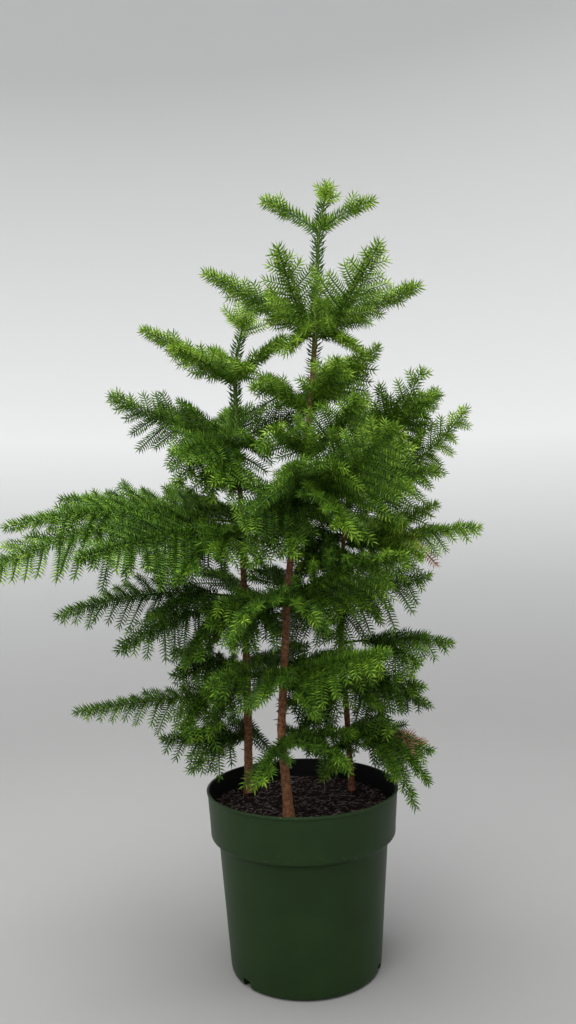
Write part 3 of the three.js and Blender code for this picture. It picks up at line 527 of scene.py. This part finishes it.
# Needle tones: a name, the freshness that each runs up to, and its material.
NEEDLE_TONES = [
    ("dry", 0.0, dry_matter("dry_needle", "b58469", 0.8)),
    ("deep", 0.28, waxy_needle("needle_deep", "2f4a19", "253c11")),
    ("green", 0.40, waxy_needle("needle_green", "416319", "365413")),
    ("leaf", 0.54, waxy_needle("needle_leaf", "587d1d", "4a6c17")),
    ("bright", 0.70, waxy_needle("needle_bright", "7a9c2c", "668922")),
    ("tip", 9.0, waxy_needle("needle_tip", "9cba46", "88a838")),
]
OLD_NEEDLE = dry_matter("old_needle", "6c6b65", 0.8)
BARK = flaking_bark()
SHOOT = green_shoot()
PEAT = damp_peat()
FIBRE = dry_matter("peat_fibre", "6e6663", 0.9)
POLYPROPYLENE = moulded_polypropylene()


# ---------------- growth: every twig as a curve

# A twig is root + a u + b u u for u from 0 to 1, so midribs and side twigs are one kind of row.
ROW = np.dtype([
    ("root", float, 3), ("a", float, 3), ("b", float, 3), ("face", float, 3),
    ("radius", float), ("tip_radius", float), ("bare", float), ("needle", float),
    ("fresh", float), ("age", float), ("stem", "U8"), ("rib", bool), ("dry", bool),
])
UP = np.array([0.0, 0.0, 1.0])


def make_rows(count, **columns):
    """A table of twigs from columns that are the same for all or given for each."""
    rows = np.zeros(count, ROW)
    for key, value in columns.items():
        rows[key] = value
    return rows


def turned_about(v, axis, angle):
    """v turned about a unit axis that is square to it."""
    return v * math.cos(angle) + np.cross(axis, v) * math.sin(angle)


def rib_frame(run, arch, roll, s):
    """Forward, side and face directions at the places s along a midrib."""
    forward = unit(run + UP * (arch * 4 * (1 - 2 * s))[:, None])
    side = unit(np.cross(UP, forward))
    side = turned_about(side, forward, -math.radians(roll))
    return forward, side, np.cross(forward, side)


def twig_share(s):
    """Twig length along a midrib as a share of its breadth: grows from the foot, then falls."""
    grown = np.minimum(1, OUTLINE["at_foot"] + OUTLINE["growth"] * s)
    return grown * np.minimum(1, (OUTLINE["ends_at"] - s) / OUTLINE["fall_over"])


def hang_at(z):
    """How far twigs at height z rise, or hang where it is less than 0, as a share of length."""
    share = (z - HANG["level_at"]) / HANG["height_per_share"]
    return min(max(share, HANG["least"]), HANG["most"])


def grow_spray(foot, tip, arch, breadth, roll, bare, stem, fresh, random, dry):
    """One flat spray: its midrib, and two ranks of twigs on it that take turns.

    The midrib runs straight from foot to tip and is lifted by its arch as 4 s (1 - s)."""
    run = tip - foot
    length = np.linalg.norm(run)
    end = 1 - NEEDLE["end_clear"] / length
    radius = RIB["radius"] * min(1, length / RIB["full_length"])
    youth = float(np.interp(foot[2], YOUNG, (0, 1)))
    needle = float(np.interp(foot[2], (NEEDLE["long_from"], NEEDLE["long_at"]),
                             (NEEDLE["length"], NEEDLE["long"])))
    rib = make_rows(
        1, root=foot, a=(run + 4 * arch * UP) * end, b=-4 * arch * UP * end ** 2,
        face=rib_frame(run, arch, roll, np.array([0.5]))[2][0],
        radius=radius, tip_radius=RIB["tip_radius"], bare=bare, needle=needle * NEEDLE["on_rib"],
        fresh=fresh, age=0.4 * (1 - youth), stem=stem, rib=True,
    )
    first = TWIG["first"] + (TWIG["young_first"] - TWIG["first"]) * youth
    first = max(first, bare + TWIG["past_start"] / length)
    last = TWIG["last"] + (TWIG["young_last"] - TWIG["last"]) * min(1, youth * 2)
    pitch = TWIG["pitch"] + (TWIG["young_pitch"] - TWIG["pitch"]) * youth
    count = max(2, int(round(2 * (last - first) * length / pitch)))
    s = first + (last - first) * (np.arange(count) + 0.5) / count
    s = s + random.uniform(-0.2, 0.2, count) * (last - first) / count
    hand = np.where(np.arange(count) % 2, 1.0, -1.0)[:, None]
    forward, side, face = rib_frame(run, arch, roll, s)
    spread = TWIG["angle_spread"] * random.uniform(-0.5, 0.5, count)
    angle = np.radians(TWIG["angle"] + spread - TWIG["angle_fall"] * s)[:, None]
    lift = TWIG["lift"] * (random.uniform(0, 1, count) - TWIG["lift_below"])[:, None]
    way = unit(forward * np.cos(angle) + side * hand * np.sin(angle) + face * lift)
    own = TWIG["least"] + TWIG["spread"] * random.uniform(0, 1, count)
    long = breadth * twig_share(s) * own - TWIG["end_clear"]
    long = np.maximum(long, TWIG["shortest"])[:, None]
    hang = hang_at(foot[2]) * np.where(way[:, 2:] > 0, HANG["rising_share"], 1)
    bend = forward * long * TWIG["forward_bend"] + UP * long * hang
    root = foot + run * s[:, None] + UP * (arch * 4 * s * (1 - s))[:, None]
    twigs = make_rows(
        count, root=root, a=way * long, b=bend, face=face,
        radius=TWIG["radius"] * np.minimum(1, TWIG["thinnest"] + long[:, 0] / TWIG["thick_at"]),
        tip_radius=TWIG["tip_radius"], bare=0.0, needle=needle, age=0.0, stem=stem,
        fresh=fresh + random.normal(0, TWIG["fresh_spread"], count)
        + TWIG["fresh_out"] * np.maximum(s - TWIG["fresh_from"], 0),
        dry=(s > dry[0]) & (s < dry[1]),
    )
    return np.concatenate([rib, twigs])


def grow_mass(stem, mass, random):
    """All sprays of one mass. The first starts on its stem and the others fork from it."""
    label, height, fresh, sprays, bough = mass
    axis = stem_axis(stem, np.array(height))
    trunk = stem_radius(stem, np.array(height))
    if fresh is None:
        fresh = FRESH_LOW + (FRESH_HIGH - FRESH_LOW) * (height - 300) / 800
    grown = []
    foot, bare = axis, 0.0
    for index, (compass, reach, tip_height, arch, breadth, roll) in enumerate(sprays):
        way = np.array([math.cos(math.radians(compass)), math.sin(math.radians(compass)), 0])
        tip = np.array([*(axis + reach * way)[:2], tip_height])
        if index == 0:
            run = tip - foot
            length = np.linalg.norm(run)
            bare = max(bough, (trunk + 3) / length)
            fork = max((trunk + RIB["past_trunk"]) / length, bough + RIB["past_bough"])
            next_foot = foot + run * fork + UP * (arch * 4 * fork * (1 - fork))
        dry = DRY.get((f"{stem}_{label}", index), (0, 0))
        grown.append(grow_spray(foot, tip, arch, breadth, roll, bare, stem, fresh, random, dry))
        foot, bare = next_foot, 0.0
    return np.concatenate(grown)


def grow_tuft(tuft, index):
    """The top of a stem: an upright tip with short twigs that lean out round it."""
    stem, top, spread, count = tuft
    draw = seeded(TUFT_SEED + index)
    height = STEMS[stem]["path"][-1][0]
    foot = stem_axis(stem, np.array(height)) + UP * TUFT["above"]
    lean = unit(foot - stem_axis(stem, np.array(height - TUFT["lean_over"])))
    tall = (top - foot[2]) / lean[2]
    east = unit(np.cross([0, 1, 0], lean))
    north = np.cross(lean, east)
    tip = tall - NEEDLE["end_clear"]
    common = {"bare": 0, "needle": NEEDLE["long"], "age": 0, "stem": stem}
    rows = [make_rows(1, root=foot - lean * TUFT["sunk"], a=lean * (tip + TUFT["sunk"]), b=0,
                      face=north, radius=TUFT["radius"], tip_radius=TUFT["tip_radius"],
                      fresh=TUFT["fresh"], **common)]
    for k in range(count):
        turn = math.radians(360 * k / count + TUFT["turn_spread"] * next(draw))
        out = east * math.cos(turn) + north * math.sin(turn)
        way = unit(out + lean * (TUFT["rise"] + TUFT["rise_spread"] * next(draw)))
        root = foot + lean * tall * (TUFT["first"] + TUFT["next"] * k)
        long = spread * (1 - TUFT["loss"] * k) - NEEDLE["end_clear"] + 1
        rows.append(make_rows(1, root=root, a=way * long * TUFT["out"],
                              b=lean * long * TUFT["curl"], face=lean,
                              radius=TUFT["twig_radius"], tip_radius=TUFT["twig_tip"],
                              fresh=TUFT["twig_fresh"], **common))
    return np.concatenate(rows)


def clear_of_stems(rows):
    """Which side twigs keep off every stem: no point past their first quarter lies in one."""
    u = np.linspace(0.25, 1, 7)[None, :, None]
    points = rows["root"][:, None] + rows["a"][:, None] * u + rows["b"][:, None] * u * u
    clear = np.ones(len(rows), bool)
    for stem in STEMS:
        z = points[..., 2]
        top = STEMS[stem]["path"][-1][0]
        off = np.linalg.norm(points[..., :2] - stem_axis(stem, z)[..., :2], axis=-1)
        hit = (off < stem_radius(stem, z) + 1.5) & (z < top)
        clear &= ~hit.any(axis=1)
    return clear | rows["rib"]


def grow_plant():
    """Every midrib and twig of the plant, in one table."""
    random = np.random.default_rng(SEED)
    grown = [grow_mass(stem, mass, random) for stem in MASSES for mass in MASSES[stem]]
    grown += [grow_tuft(tuft, index) for index, tuft in enumerate(TUFTS)]
    rows = np.concatenate(grown)
    return rows[clear_of_stems(rows)]


# ---------------- twigs as tubes

def curve_points(rows, u):
    """Points and directions of each twig at its places u, which has a row for each twig."""
    u = u[..., None]
    shape = (len(rows),) + (1,) * (u.ndim - 2) + (3,)
    a, b = rows["a"].reshape(shape), rows["b"].reshape(shape)
    return rows["root"].reshape(shape) + a * u + b * u * u, unit(a + 2 * b * u)


def square_to(direction, face):
    """Two directions square to each direction: the face's part, and the one across it."""
    up = unit(face - direction * (face * direction).sum(-1, keepdims=True))
    return up, np.cross(direction, up)


def tubes(rows, steps, sides):
    """Every twig as a closed tube: rings square to its curve, tapering from radius to tip.

    Points are centre + r (cos t across + sin t up), and both ends close on a point."""
    share = np.linspace(0, 1, steps)
    centre, way = curve_points(rows, np.tile(share, (len(rows), 1)))
    up, across = square_to(way, np.broadcast_to(rows["face"][:, None], way.shape))
    taper = rows["radius"][:, None] + (rows["tip_radius"] - rows["radius"])[:, None] * share
    turn = 2 * np.pi * np.arange(sides) / sides
    ring = (across[:, :, None] * np.cos(turn)[:, None] + up[:, :, None] * np.sin(turn)[:, None])
    body = (centre[:, :, None] + taper[:, :, None, None] * ring).reshape(len(rows), -1, 3)
    ends = centre[:, [0, -1]]
    points = np.concatenate([body, ends], axis=1)
    per = points.shape[1]
    faces = closed_grid(steps, sides)[None] + (np.arange(len(rows)) * per)[:, None, None]
    return points.reshape(-1, 3), faces.reshape(-1, 3), per


# ---------------- needles

NEEDLE_FACES = np.array([[0, 3, 1], [0, 2, 3], [1, 3, 2], [0, 1, 2]])


def awls(root, along, out, length, width):
    """Corners of four-faced awls: a broad root edge, a keel on the outer side, and a tip.

    The keel stands at a share of the length and is bowed out from the chord between root and
    tip, so each awl curves inwards and tapers from its root to a sharp point."""
    across = unit(np.cross(along, out)) * (width / 2)[:, None]
    keel = (root + along * (NEEDLE["waist_at"] * length)[:, None]
            + out * (NEEDLE["bow"] * length + NEEDLE["keel"] * width)[:, None])
    tip = root + along * length[:, None]
    return np.stack([root - across, root + across, keel, tip], axis=1)


def put_needles(name, needles, material, slot):
    """One piece of many awls, from their corners as an array of (count, 4, 3)."""
    points = needles.reshape(-1, 3)
    faces = NEEDLE_FACES[None] + (np.arange(len(needles)) * 4)[:, None, None]
    faces = outward(points, faces.reshape(-1, 3))
    keep(put_mesh(name, points, faces, material, smooth=False), slot)


def twig_needles(rows, random):
    """Needles in five ranks round every twig: each stands two fifths of a turn from the last.

    One rank lies to each side in the flat of the spray. All close forwards at the twig's end."""
    length = np.linalg.norm(rows["a"] + rows["b"], axis=1)
    dense = np.where(rows["rib"], NEEDLE["rib_to_a_mm"], NEEDLE["to_a_mm"])
    count = np.maximum(8, (1 - rows["bare"]) * length * dense).astype(int)
    owner = np.repeat(np.arange(len(rows)), count)
    order = np.arange(len(owner)) - np.repeat(np.cumsum(count) - count, count)
    share = (order + 0.5) / count[owner]
    bare = rows["bare"][owner]
    u = bare + share * (1 - bare)
    here = rows[owner]
    centre, way = curve_points(here, u)
    up, across = square_to(way, here["face"])
    drift = NEEDLE["rank_drift"] * random.uniform(-1, 1, len(rows))
    step = np.where(rows["rib"], NEEDLE["rib_turn"], NEEDLE["rank_turn"] + drift)
    loose = random.uniform(-NEEDLE["turn_spread"], NEEDLE["turn_spread"], len(owner))
    turn = np.radians(NEEDLE["first_turn"] + order * step[owner] + loose)
    radial = unit(across * np.cos(turn)[:, None]
                  + up * NEEDLE["flatten"] * np.sin(turn)[:, None])
    to_end = (1 - u) * length[owner]
    opened = np.clip(to_end / NEEDLE["closing"], 0, 1) ** 0.7
    angle = NEEDLE["tip_angle"] + (NEEDLE["angle"] - NEEDLE["tip_angle"]) * opened
    loose = random.uniform(-NEEDLE["angle_spread"], NEEDLE["angle_spread"], len(owner))
    angle = np.radians(angle + loose)
    chord = unit(way * np.cos(angle)[:, None] + radial * np.sin(angle)[:, None])
    out = unit(radial * np.cos(angle)[:, None] - way * np.sin(angle)[:, None])
    size = here["needle"] * (0.78 + 0.22 * opened)
    size = size * random.uniform(*NEEDLE["length_spread"], len(owner))
    width = NEEDLE["width"] * random.uniform(*NEEDLE["width_spread"], len(owner))
    thick = here["radius"] + (here["tip_radius"] - here["radius"]) * u
    root = centre + radial * (NEEDLE["sunk"] * thick)[:, None]
    near_end = np.clip(1 - to_end / NEEDLE["fresh_end"], 0, 1)
    tone = here["fresh"] * (0.94 + 0.2 * near_end)
    tone = tone + random.normal(0, NEEDLE["tone_spread"], len(owner))
    tone = np.where(here["dry"], -1.0, np.maximum(tone, 0.01))
    return awls(root, chord, out, size, width), tone


def stem_needles(stem, random):
    """Needles on a stem: a full coat on the green shoot, fewer and shorter on the bark."""
    c = STEM_COAT
    low, top = SOIL_TOP + c["above_soil"], STEMS[stem]["path"][-1][0]
    count = int((top - low) / c["pitch"])
    z = low + (top - low) * (np.arange(count) + 0.5) / count
    over = c["thickens_over"]
    coat = np.clip((z - (STEMS[stem]["green_from"] - over)) / over, 0, 1)
    sparse = c["least"] + c["older"] * np.clip((z - c["older_from"]) / c["older_over"], 0, 1)
    shown = random.uniform(0, 1, count) < sparse + (1 - sparse) * coat
    turn = np.arange(count) * GOLDEN_TURN + random.uniform(0, 0.5, count)
    z, turn, coat = z[shown], turn[shown], coat[shown]
    radial = np.stack([np.cos(turn), np.sin(turn), np.zeros(len(z))], axis=1)
    rise = np.radians(c["rise"] + c["young_rise"] * coat + random.uniform(-14, 10, len(z)))
    chord = unit(radial * np.cos(rise)[:, None] + UP * np.sin(rise)[:, None])
    out = unit(radial * np.sin(rise)[:, None] - UP * np.cos(rise)[:, None])
    size = (c["length"] + c["young_length"] * coat) * random.uniform(0.85, 1.08, len(z))
    root = stem_axis(stem, z) + radial * (c["sunk"] * stem_radius(stem, z))[:, None]
    width = NEEDLE["width"] * (1 + c["young_width"] * coat)
    return awls(root, chord, out, size, width), coat


# ---------------- the plant's pieces

def mass_nodes(stem):
    """The frame's nodes that the twigs of one stem stand for."""
    return [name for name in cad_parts
            if name.startswith((f"sprays_{stem}_", f"bough_{stem}_", f"tuft_{stem}"))]


def dress_twigs(rows):
    """Midribs and twigs of each stem as one piece."""
    for stem in STEMS:
        own = rows[rows["stem"] == stem]
        parts, ages, offset = [], [], 0
        faces = []
        for thick, steps, sides in ((True, 12, 6), (False, 4, 4)):
            some = own[own["rib"] == thick]
            points, tris, per = tubes(some, steps, sides)
            parts.append(points)
            faces.append(tris + offset)
            ages.append(np.repeat(some["age"], per))
            offset += len(points)
        points = np.concatenate(parts)
        faces = outward(points, np.concatenate(faces))
        piece = put_mesh(f"twigs_{stem}", points, faces, SHOOT, age=np.concatenate(ages))
        keep(piece, "young_bark", *mass_nodes(stem))


def in_cad_box(needles):
    """Which needles, an array of (count, corners, 3), lie wholly inside the CAD model's box."""
    low, high = (np.array(corner) / MM for corner in CAD_BOX)
    return ((needles >= low) & (needles <= high)).all(axis=(1, 2))


def dress_needles(rows):
    """Needles of each stem, one piece for each tone. Any that leave the CAD box are left out."""
    random = np.random.default_rng(SEED + 1)
    for stem in STEMS:
        own = rows[rows["stem"] == stem]
        needles, tone = twig_needles(own, random)
        on_stem, coat = stem_needles(stem, random)
        inside = in_cad_box(needles)
        bound = tone.min()
        for label, upto, material in NEEDLE_TONES:
            chosen = needles[inside & (tone >= bound) & (tone < upto)]
            bound = upto
            if label == "green":
                chosen = np.concatenate([chosen, on_stem[coat > 0.5]])
            if len(chosen):
                slot = "fresh_needles" if label == "tip" else "needles"
                put_needles(f"needles_{label}_{stem}", chosen, material, slot)
        put_needles(f"needles_old_{stem}", on_stem[coat <= 0.5], OLD_NEEDLE, "needles")


def dress_stem(stem):
    """A stem with its bark: radius times relief, on a grid of height by turn.

    Relief is a spiral of scars, each a small swelling, over two sizes of rough noise."""
    c = BARK_RELIEF
    foot, top = SOIL_TOP - 4, STEMS[stem]["path"][-1][0]
    rows, columns = int((top - foot) / c["row"]), c["sides"]
    z = np.linspace(foot, top, rows)
    turn = 2 * np.pi * np.arange(columns) / columns
    zz, tt = np.meshgrid(z, turn, indexing="ij")
    radius = stem_radius(stem, zz)
    every = c["scar_every"]
    site = np.round((zz - foot) / every)[..., None] + np.arange(-6, 7)
    rise = zz[..., None] - (foot + site * every)
    away = (tt[..., None] - site * GOLDEN_TURN + np.pi) % (2 * np.pi) - np.pi
    near = (away * radius[..., None] / c["scar_wide"]) ** 2 + (rise / c["scar_tall"]) ** 2
    scar = np.exp(-near).max(axis=-1)
    green_foot = STEMS[stem]["green_from"] - c["green_before"]
    green = np.clip((zz - green_foot) / c["green_over"], 0, 1)
    flat = np.stack([np.cos(tt) * 6, np.sin(tt) * 6, zz], axis=-1).reshape(-1, 3)
    fine = value_noise(flat, c["fine"], SEED).reshape(zz.shape)
    coarse = value_noise(flat * [1, 1, 0.5], c["coarse"], SEED + 3).reshape(zz.shape)
    rough = fine + c["coarse_share"] * coarse
    depth = c["depth"] * np.clip(radius / 5, 0.4, 1.2) * (1 - c["green_smooth"] * green)
    r = radius + depth * (c["scar_share"] * scar + c["rough_share"] * rough)
    axis = stem_axis(stem, zz)
    points = axis + r[..., None] * np.stack([np.cos(tt), np.sin(tt), 0 * tt], axis=-1)
    points, faces = closed_body(points, stem_axis(stem, np.array([foot, top])))
    bare_scar = np.clip((scar - 0.55) / 0.4, 0, 1) * (1 - green)
    piece = put_mesh(f"stem_{stem}", points, faces, BARK,
                     scar=np.concatenate([bare_scar.ravel(), [0, 0]]),
                     green=np.concatenate([green.ravel(), [0, 1]]))
    keep(piece, "bark", f"trunk_{stem}")


# ---------------- pot and soil

def arc(centre, radius, start, end, count):
    """Points of an arc round a centre in the (r, z) plane, from one angle to another."""
    t = np.radians(np.linspace(start, end, count))
    return [(centre[0] + radius * math.cos(a), centre[1] + radius * math.sin(a)) for a in t]


def pot_profile():
    """The pot's section, outside up and inside down, with its corners rounded as arcs."""
    w, height, floor = POT["wall"], POT["height"], POT["floor"]
    foot, corner, corner_z = POT["foot_radius"], POT["foot_corner"], POT["foot_corner_height"]
    waist, waist_z = POT["waist_radius"], POT["waist_height"]
    band, band_z = POT["band_foot_radius"], POT["band_foot_height"]
    rim, lip, lip_z = POT["rim_radius"], POT["lip_radius"], height - POT["lip_height"]
    return [
        (0.0, 1.2), (foot - 14, 1.2), (foot - 12, 0.0), (foot - 3, 0.0),
        *arc((foot - 3, corner_z + 1.5), 6.5, -90, -8, 9),
        (corner + 0.8, 16.0),
        *[(corner + (waist - corner) * (z - 5) / 172, z)
          for z in (50.0, 90.0, 130.0, 160.0, 172.0)],
        (waist - 0.1, waist_z - 1),
        (waist + 0.8, waist_z + 0.9),
        (band - 3.4, band_z - 4.0),
        *arc((band - 4.2, band_z + 0.8), 4.6, -50, -3, 6),
        (band + 1.2, band_z + 16),
        (rim - 0.6, lip_z - 12), (rim, lip_z - 1.0),
        (lip - 0.4, lip_z + 0.2), *arc((lip - 1.2, height - 1.2), 1.2, 0, 90, 5),
        (rim - w + 0.8, height), (rim - w, height - 0.8),
        (rim - w - 0.2, lip_z),
        (band - w + 0.9, band_z + 16), (band - w - 0.4, band_z + 1),
        (waist - w, waist_z + 1),
        (corner - w, floor + 6), (corner - w - 4, floor), (0.0, floor),
    ]


def turned(profile, sides):
    """A profile in the (r, z) plane turned about +Z: a grid of points, row by row."""
    r, z = np.array(profile, float).T[..., None]
    turn = 2 * np.pi * np.arange(sides) / sides
    return np.stack([r * np.cos(turn), r * np.sin(turn), z + 0 * turn], axis=-1)


def dress_pot():
    """The pot, with its three drain notches cut through the foot by a boolean."""
    profile = pot_profile()
    ends = [[0, 0, z] for r, z in (profile[0], profile[-1])]
    points, faces = closed_body(turned(profile[1:-1], POT["sides"]), ends)
    pot = put_mesh("nursery_pot", points, faces, POLYPROPYLENE)
    half, tall, corner = POT["notch_width"] / 2, POT["notch_height"], POT["notch_corner"]
    section = np.array([(-half, -2), (half, -2), (half, tall - corner), (half - corner, tall),
                        (corner - half, tall), (-half, tall - corner)])
    for k in range(POT["notches"]):
        turn = math.radians(POT["notch_turn"] + 360 / POT["notches"] * k)
        block = np.concatenate([np.column_stack([np.full(6, r), section])
                                for r in (POT["notch_from"], POT["notch_to"])])
        x = block[:, 0] * math.cos(turn) - block[:, 1] * math.sin(turn)
        y = block[:, 0] * math.sin(turn) + block[:, 1] * math.cos(turn)
        block = np.column_stack([x, y, block[:, 2]])
        fan = [[0, i + 1, i] for i in range(1, 5)] + [[6, 6 + i, 7 + i] for i in range(1, 5)]
        sides = split(grid_faces(2, 6))
        cutter = put_mesh("notch", block, outward(block, np.concatenate([sides, fan])),
                          POLYPROPYLENE)
        cut = pot.modifiers.new("notch", "BOOLEAN")
        cut.object = cutter
        cut.operation = "DIFFERENCE"
        cut.solver = "EXACT"
        bpy.context.view_layer.update()
        done = bpy.data.meshes.new_from_object(
            pot.evaluated_get(bpy.context.evaluated_depsgraph_get()))
        pot.modifiers.clear()
        pot.data = done
        bpy.data.objects.remove(cutter)
    co = np.zeros(len(pot.data.vertices) * 3)
    pot.data.vertices.foreach_get("co", co)
    x, y, z = co.reshape(-1, 3).T / MM
    r = np.hypot(x, y)
    between_skins = np.interp(z, [0, POT["waist_height"], POT["band_foot_height"],
                                  POT["height"]], [103, 116.6, 127, 131.5])
    edges = [np.clip(1 - np.abs(z - height) / reach, 0, 1)
             for height, reach in ((186, 8), (0, 16), (247, 4))]
    mark(pot.data, inside=(r < between_skins) & (z > 2), worn=sum(edges) + 0.06)
    pot.data.shade_smooth()
    pot.data.set_sharp_from_angle(angle=math.radians(32))
    keep(pot, "pot", "pot")


def soil_height(x, y):
    """The soil's surface: level, sunk at the wall, heaped at the stems, and crumbly."""
    flat = np.column_stack([x, y, np.zeros_like(x)])
    r = np.hypot(x, y)
    edge = np.clip((r - SOIL["sunk_from"]) / SOIL["sunk_over"], 0, 1)
    z = SOIL_TOP - SOIL["below_top"] - SOIL["sunk"] * edge ** 2
    for stem in STEMS:
        foot = stem_axis(stem, np.array(float(SOIL_TOP)))
        away = np.hypot(x - foot[0], y - foot[1])
        z = z + SOIL["heap"] * np.exp(-(away / SOIL["heap_radius"]) ** 2)
    for k, (height, cell) in enumerate(SOIL["lumps"]):
        z = z + height * value_noise(flat, cell, SEED + 11 + k)
    return z


def dress_soil():
    """The root ball: a crumbly top on a grid of radius by turn, and plain sides in the pot."""
    rings, turns = SOIL["rings"], SOIL["turns"]
    wall = POT["band_foot_radius"] + (POT["rim_radius"] - POT["band_foot_radius"]) * 0.62
    r = (wall - SOIL["clear_of_pot"]) * (np.arange(1, rings + 1) / rings) ** 0.8
    turn = 2 * np.pi * np.arange(turns) / turns
    rr, tt = np.meshgrid(r, turn, indexing="ij")
    x, y = rr * np.cos(tt), rr * np.sin(tt)
    top = np.stack([x, y, soil_height(x.ravel(), y.ravel()).reshape(x.shape)], axis=-1)
    side = [(POT["band_foot_radius"] - 2.9, 188), (POT["waist_radius"] - 2.5, 178),
            (POT["foot_corner"] - 2.6, 9.5), (POT["foot_corner"] - 6.6, 3.2)]
    middle = soil_height(np.zeros(1), np.zeros(1))[0]
    ends = [[0, 0, middle], [0, 0, side[-1][1]]]
    points, faces = closed_body(np.concatenate([top, turned(side, turns)]), ends)
    keep(put_mesh("peat", points, faces, PEAT), "soil", "soil")


def dress_fibres():
    """Loose fibres and bark crumbs on the soil: short bent slivers that lie on its surface."""
    random = np.random.default_rng(SEED + 21)
    count = FIBRES["count"]
    r = FIBRES["within"] * np.sqrt(random.uniform(0, 1, count))
    turn = random.uniform(0, 2 * np.pi, count)
    x, y = r * np.cos(turn), r * np.sin(turn)
    z = soil_height(x, y) + random.uniform(-0.4, 0.9, count)
    root = np.column_stack([x, y, z])
    lie = random.uniform(0, 2 * np.pi, count)
    along = unit(np.column_stack([np.cos(lie), np.sin(lie), random.uniform(-0.15, 0.3, count)]))
    out = unit(np.cross(along, [0.3, 0.2, 1.0]))
    slivers = awls(root, along, out, random.uniform(*FIBRES["length"], count),
                   random.uniform(*FIBRES["width"], count))
    put_needles("peat_fibres", slivers, FIBRE, "soil")


# ---------------- stage, light and camera

SWEEP = {"flat": 650, "corner": 1300, "radius": 2500, "wall": 3400, "top": 5200, "sides": 96,
         "below": 0.3}
SKY = {"colour": "f2f6fb", "strength": 0.62}
# Each softbox: its place and aim in metres, its side in metres, its watts and its colour.
SOFTBOXES = {
    "overhead": ((-0.3, -0.1, 3.0), (0, 0, 0.5), 2.4, 125, "fdfdff"),
    "front": ((-0.6, -2.1, 2.2), (0, 0, 0.5), 1.6, 32, "fffdfa"),
}
CAMERA = {"place": (-0.0107, -1.24, 0.632), "lens": 31, "sensor": 36, "turn": -1.4}


def pale_paper_painted_shade():
    """Matt paper, light grey on the floor. Up the wall its colour whitens with height: painted
    shade low on the wall and painted light from above higher up.
    """
    material, tree, shader = new_material("pale_paper_painted_shade", Roughness=0.9)
    point = add(tree, "ShaderNodeTexCoord").outputs["Object"]
    height = add(tree, "ShaderNodeSeparateXYZ", {0: point}).outputs["Z"]
    # Painted shade and painted light: grey at the floor, whitening a metre up the wall, as light
    # from above would fall on it.
    paper_tone_painted_shade = mottled(tree, height, (0.0, "8e8e8c"), (0.3, "a8a8a7"), (1.0, "e4e4e3"))
    tree.links.new(paper_tone_painted_shade, shader.inputs["Base Color"])
    return material


def make_stage():
    """A pale floor that sweeps up all round into a wall, from a profile turned about +Z."""
    corner, radius, sides = SWEEP["corner"], SWEEP["radius"], SWEEP["sides"]
    profile = [(0, 0), (SWEEP["flat"], 0), *arc((corner, radius), radius, -90, 0, 24),
               (corner + radius, SWEEP["wall"]), (corner + radius, SWEEP["top"])]
    points = turned(profile, sides).reshape(-1, 3)
    points[:, 2] -= SWEEP["below"]
    floor = put_mesh("floor", points, grid_faces(len(profile), sides), pale_paper_painted_shade())


def softbox(name, place_m, aim_m, size_m, watts, colour):
    """A square soft light at a place, turned to face its aim."""
    data = bpy.data.lights.new(name, "AREA")
    data.shape = "SQUARE"
    data.size = size_m
    data.energy = watts
    data.color = linear(colour)[:3]
    lamp = bpy.data.objects.new(name, data)
    bpy.context.scene.collection.objects.link(lamp)
    way = Vector(aim_m) - Vector(place_m)
    turn = way.to_track_quat("-Z", "Y").to_matrix().to_4x4()
    lamp.matrix_world = Matrix.Translation(place_m) @ turn


def make_light():
    """Soft daylight from the open top, and two softboxes: one overhead and one in front."""
    world = bpy.data.worlds.new("soft_day")
    world.use_nodes = True
    sky = world.node_tree.nodes["Background"]
    sky.inputs["Color"].default_value = linear(SKY["colour"])
    sky.inputs["Strength"].default_value = SKY["strength"]
    scene = bpy.context.scene
    scene.world = world
    scene.view_settings.view_transform = "Standard"
    for name, settings in SOFTBOXES.items():
        softbox(name, *settings)


def make_camera():
    """The camera stands level in front at a little over half the plant's height, and leans."""
    data = bpy.data.cameras.new("camera")
    data.lens = CAMERA["lens"]
    data.sensor_width = CAMERA["sensor"]
    camera = bpy.data.objects.new("camera", data)
    bpy.context.scene.collection.objects.link(camera)
    camera.matrix_world = (Matrix.Translation(CAMERA["place"])
                           @ Matrix.Rotation(math.radians(90), 4, "X")
                           @ Matrix.Rotation(math.radians(CAMERA["turn"]), 4, "Z"))
    bpy.context.scene.camera = camera


# ---------------- the whole

plant = grow_plant()
dress_twigs(plant)
dress_needles(plant)
for stem_name in STEMS:
    dress_stem(stem_name)
dress_pot()
dress_soil()
dress_fibres()
make_stage()
make_light()
make_camera()
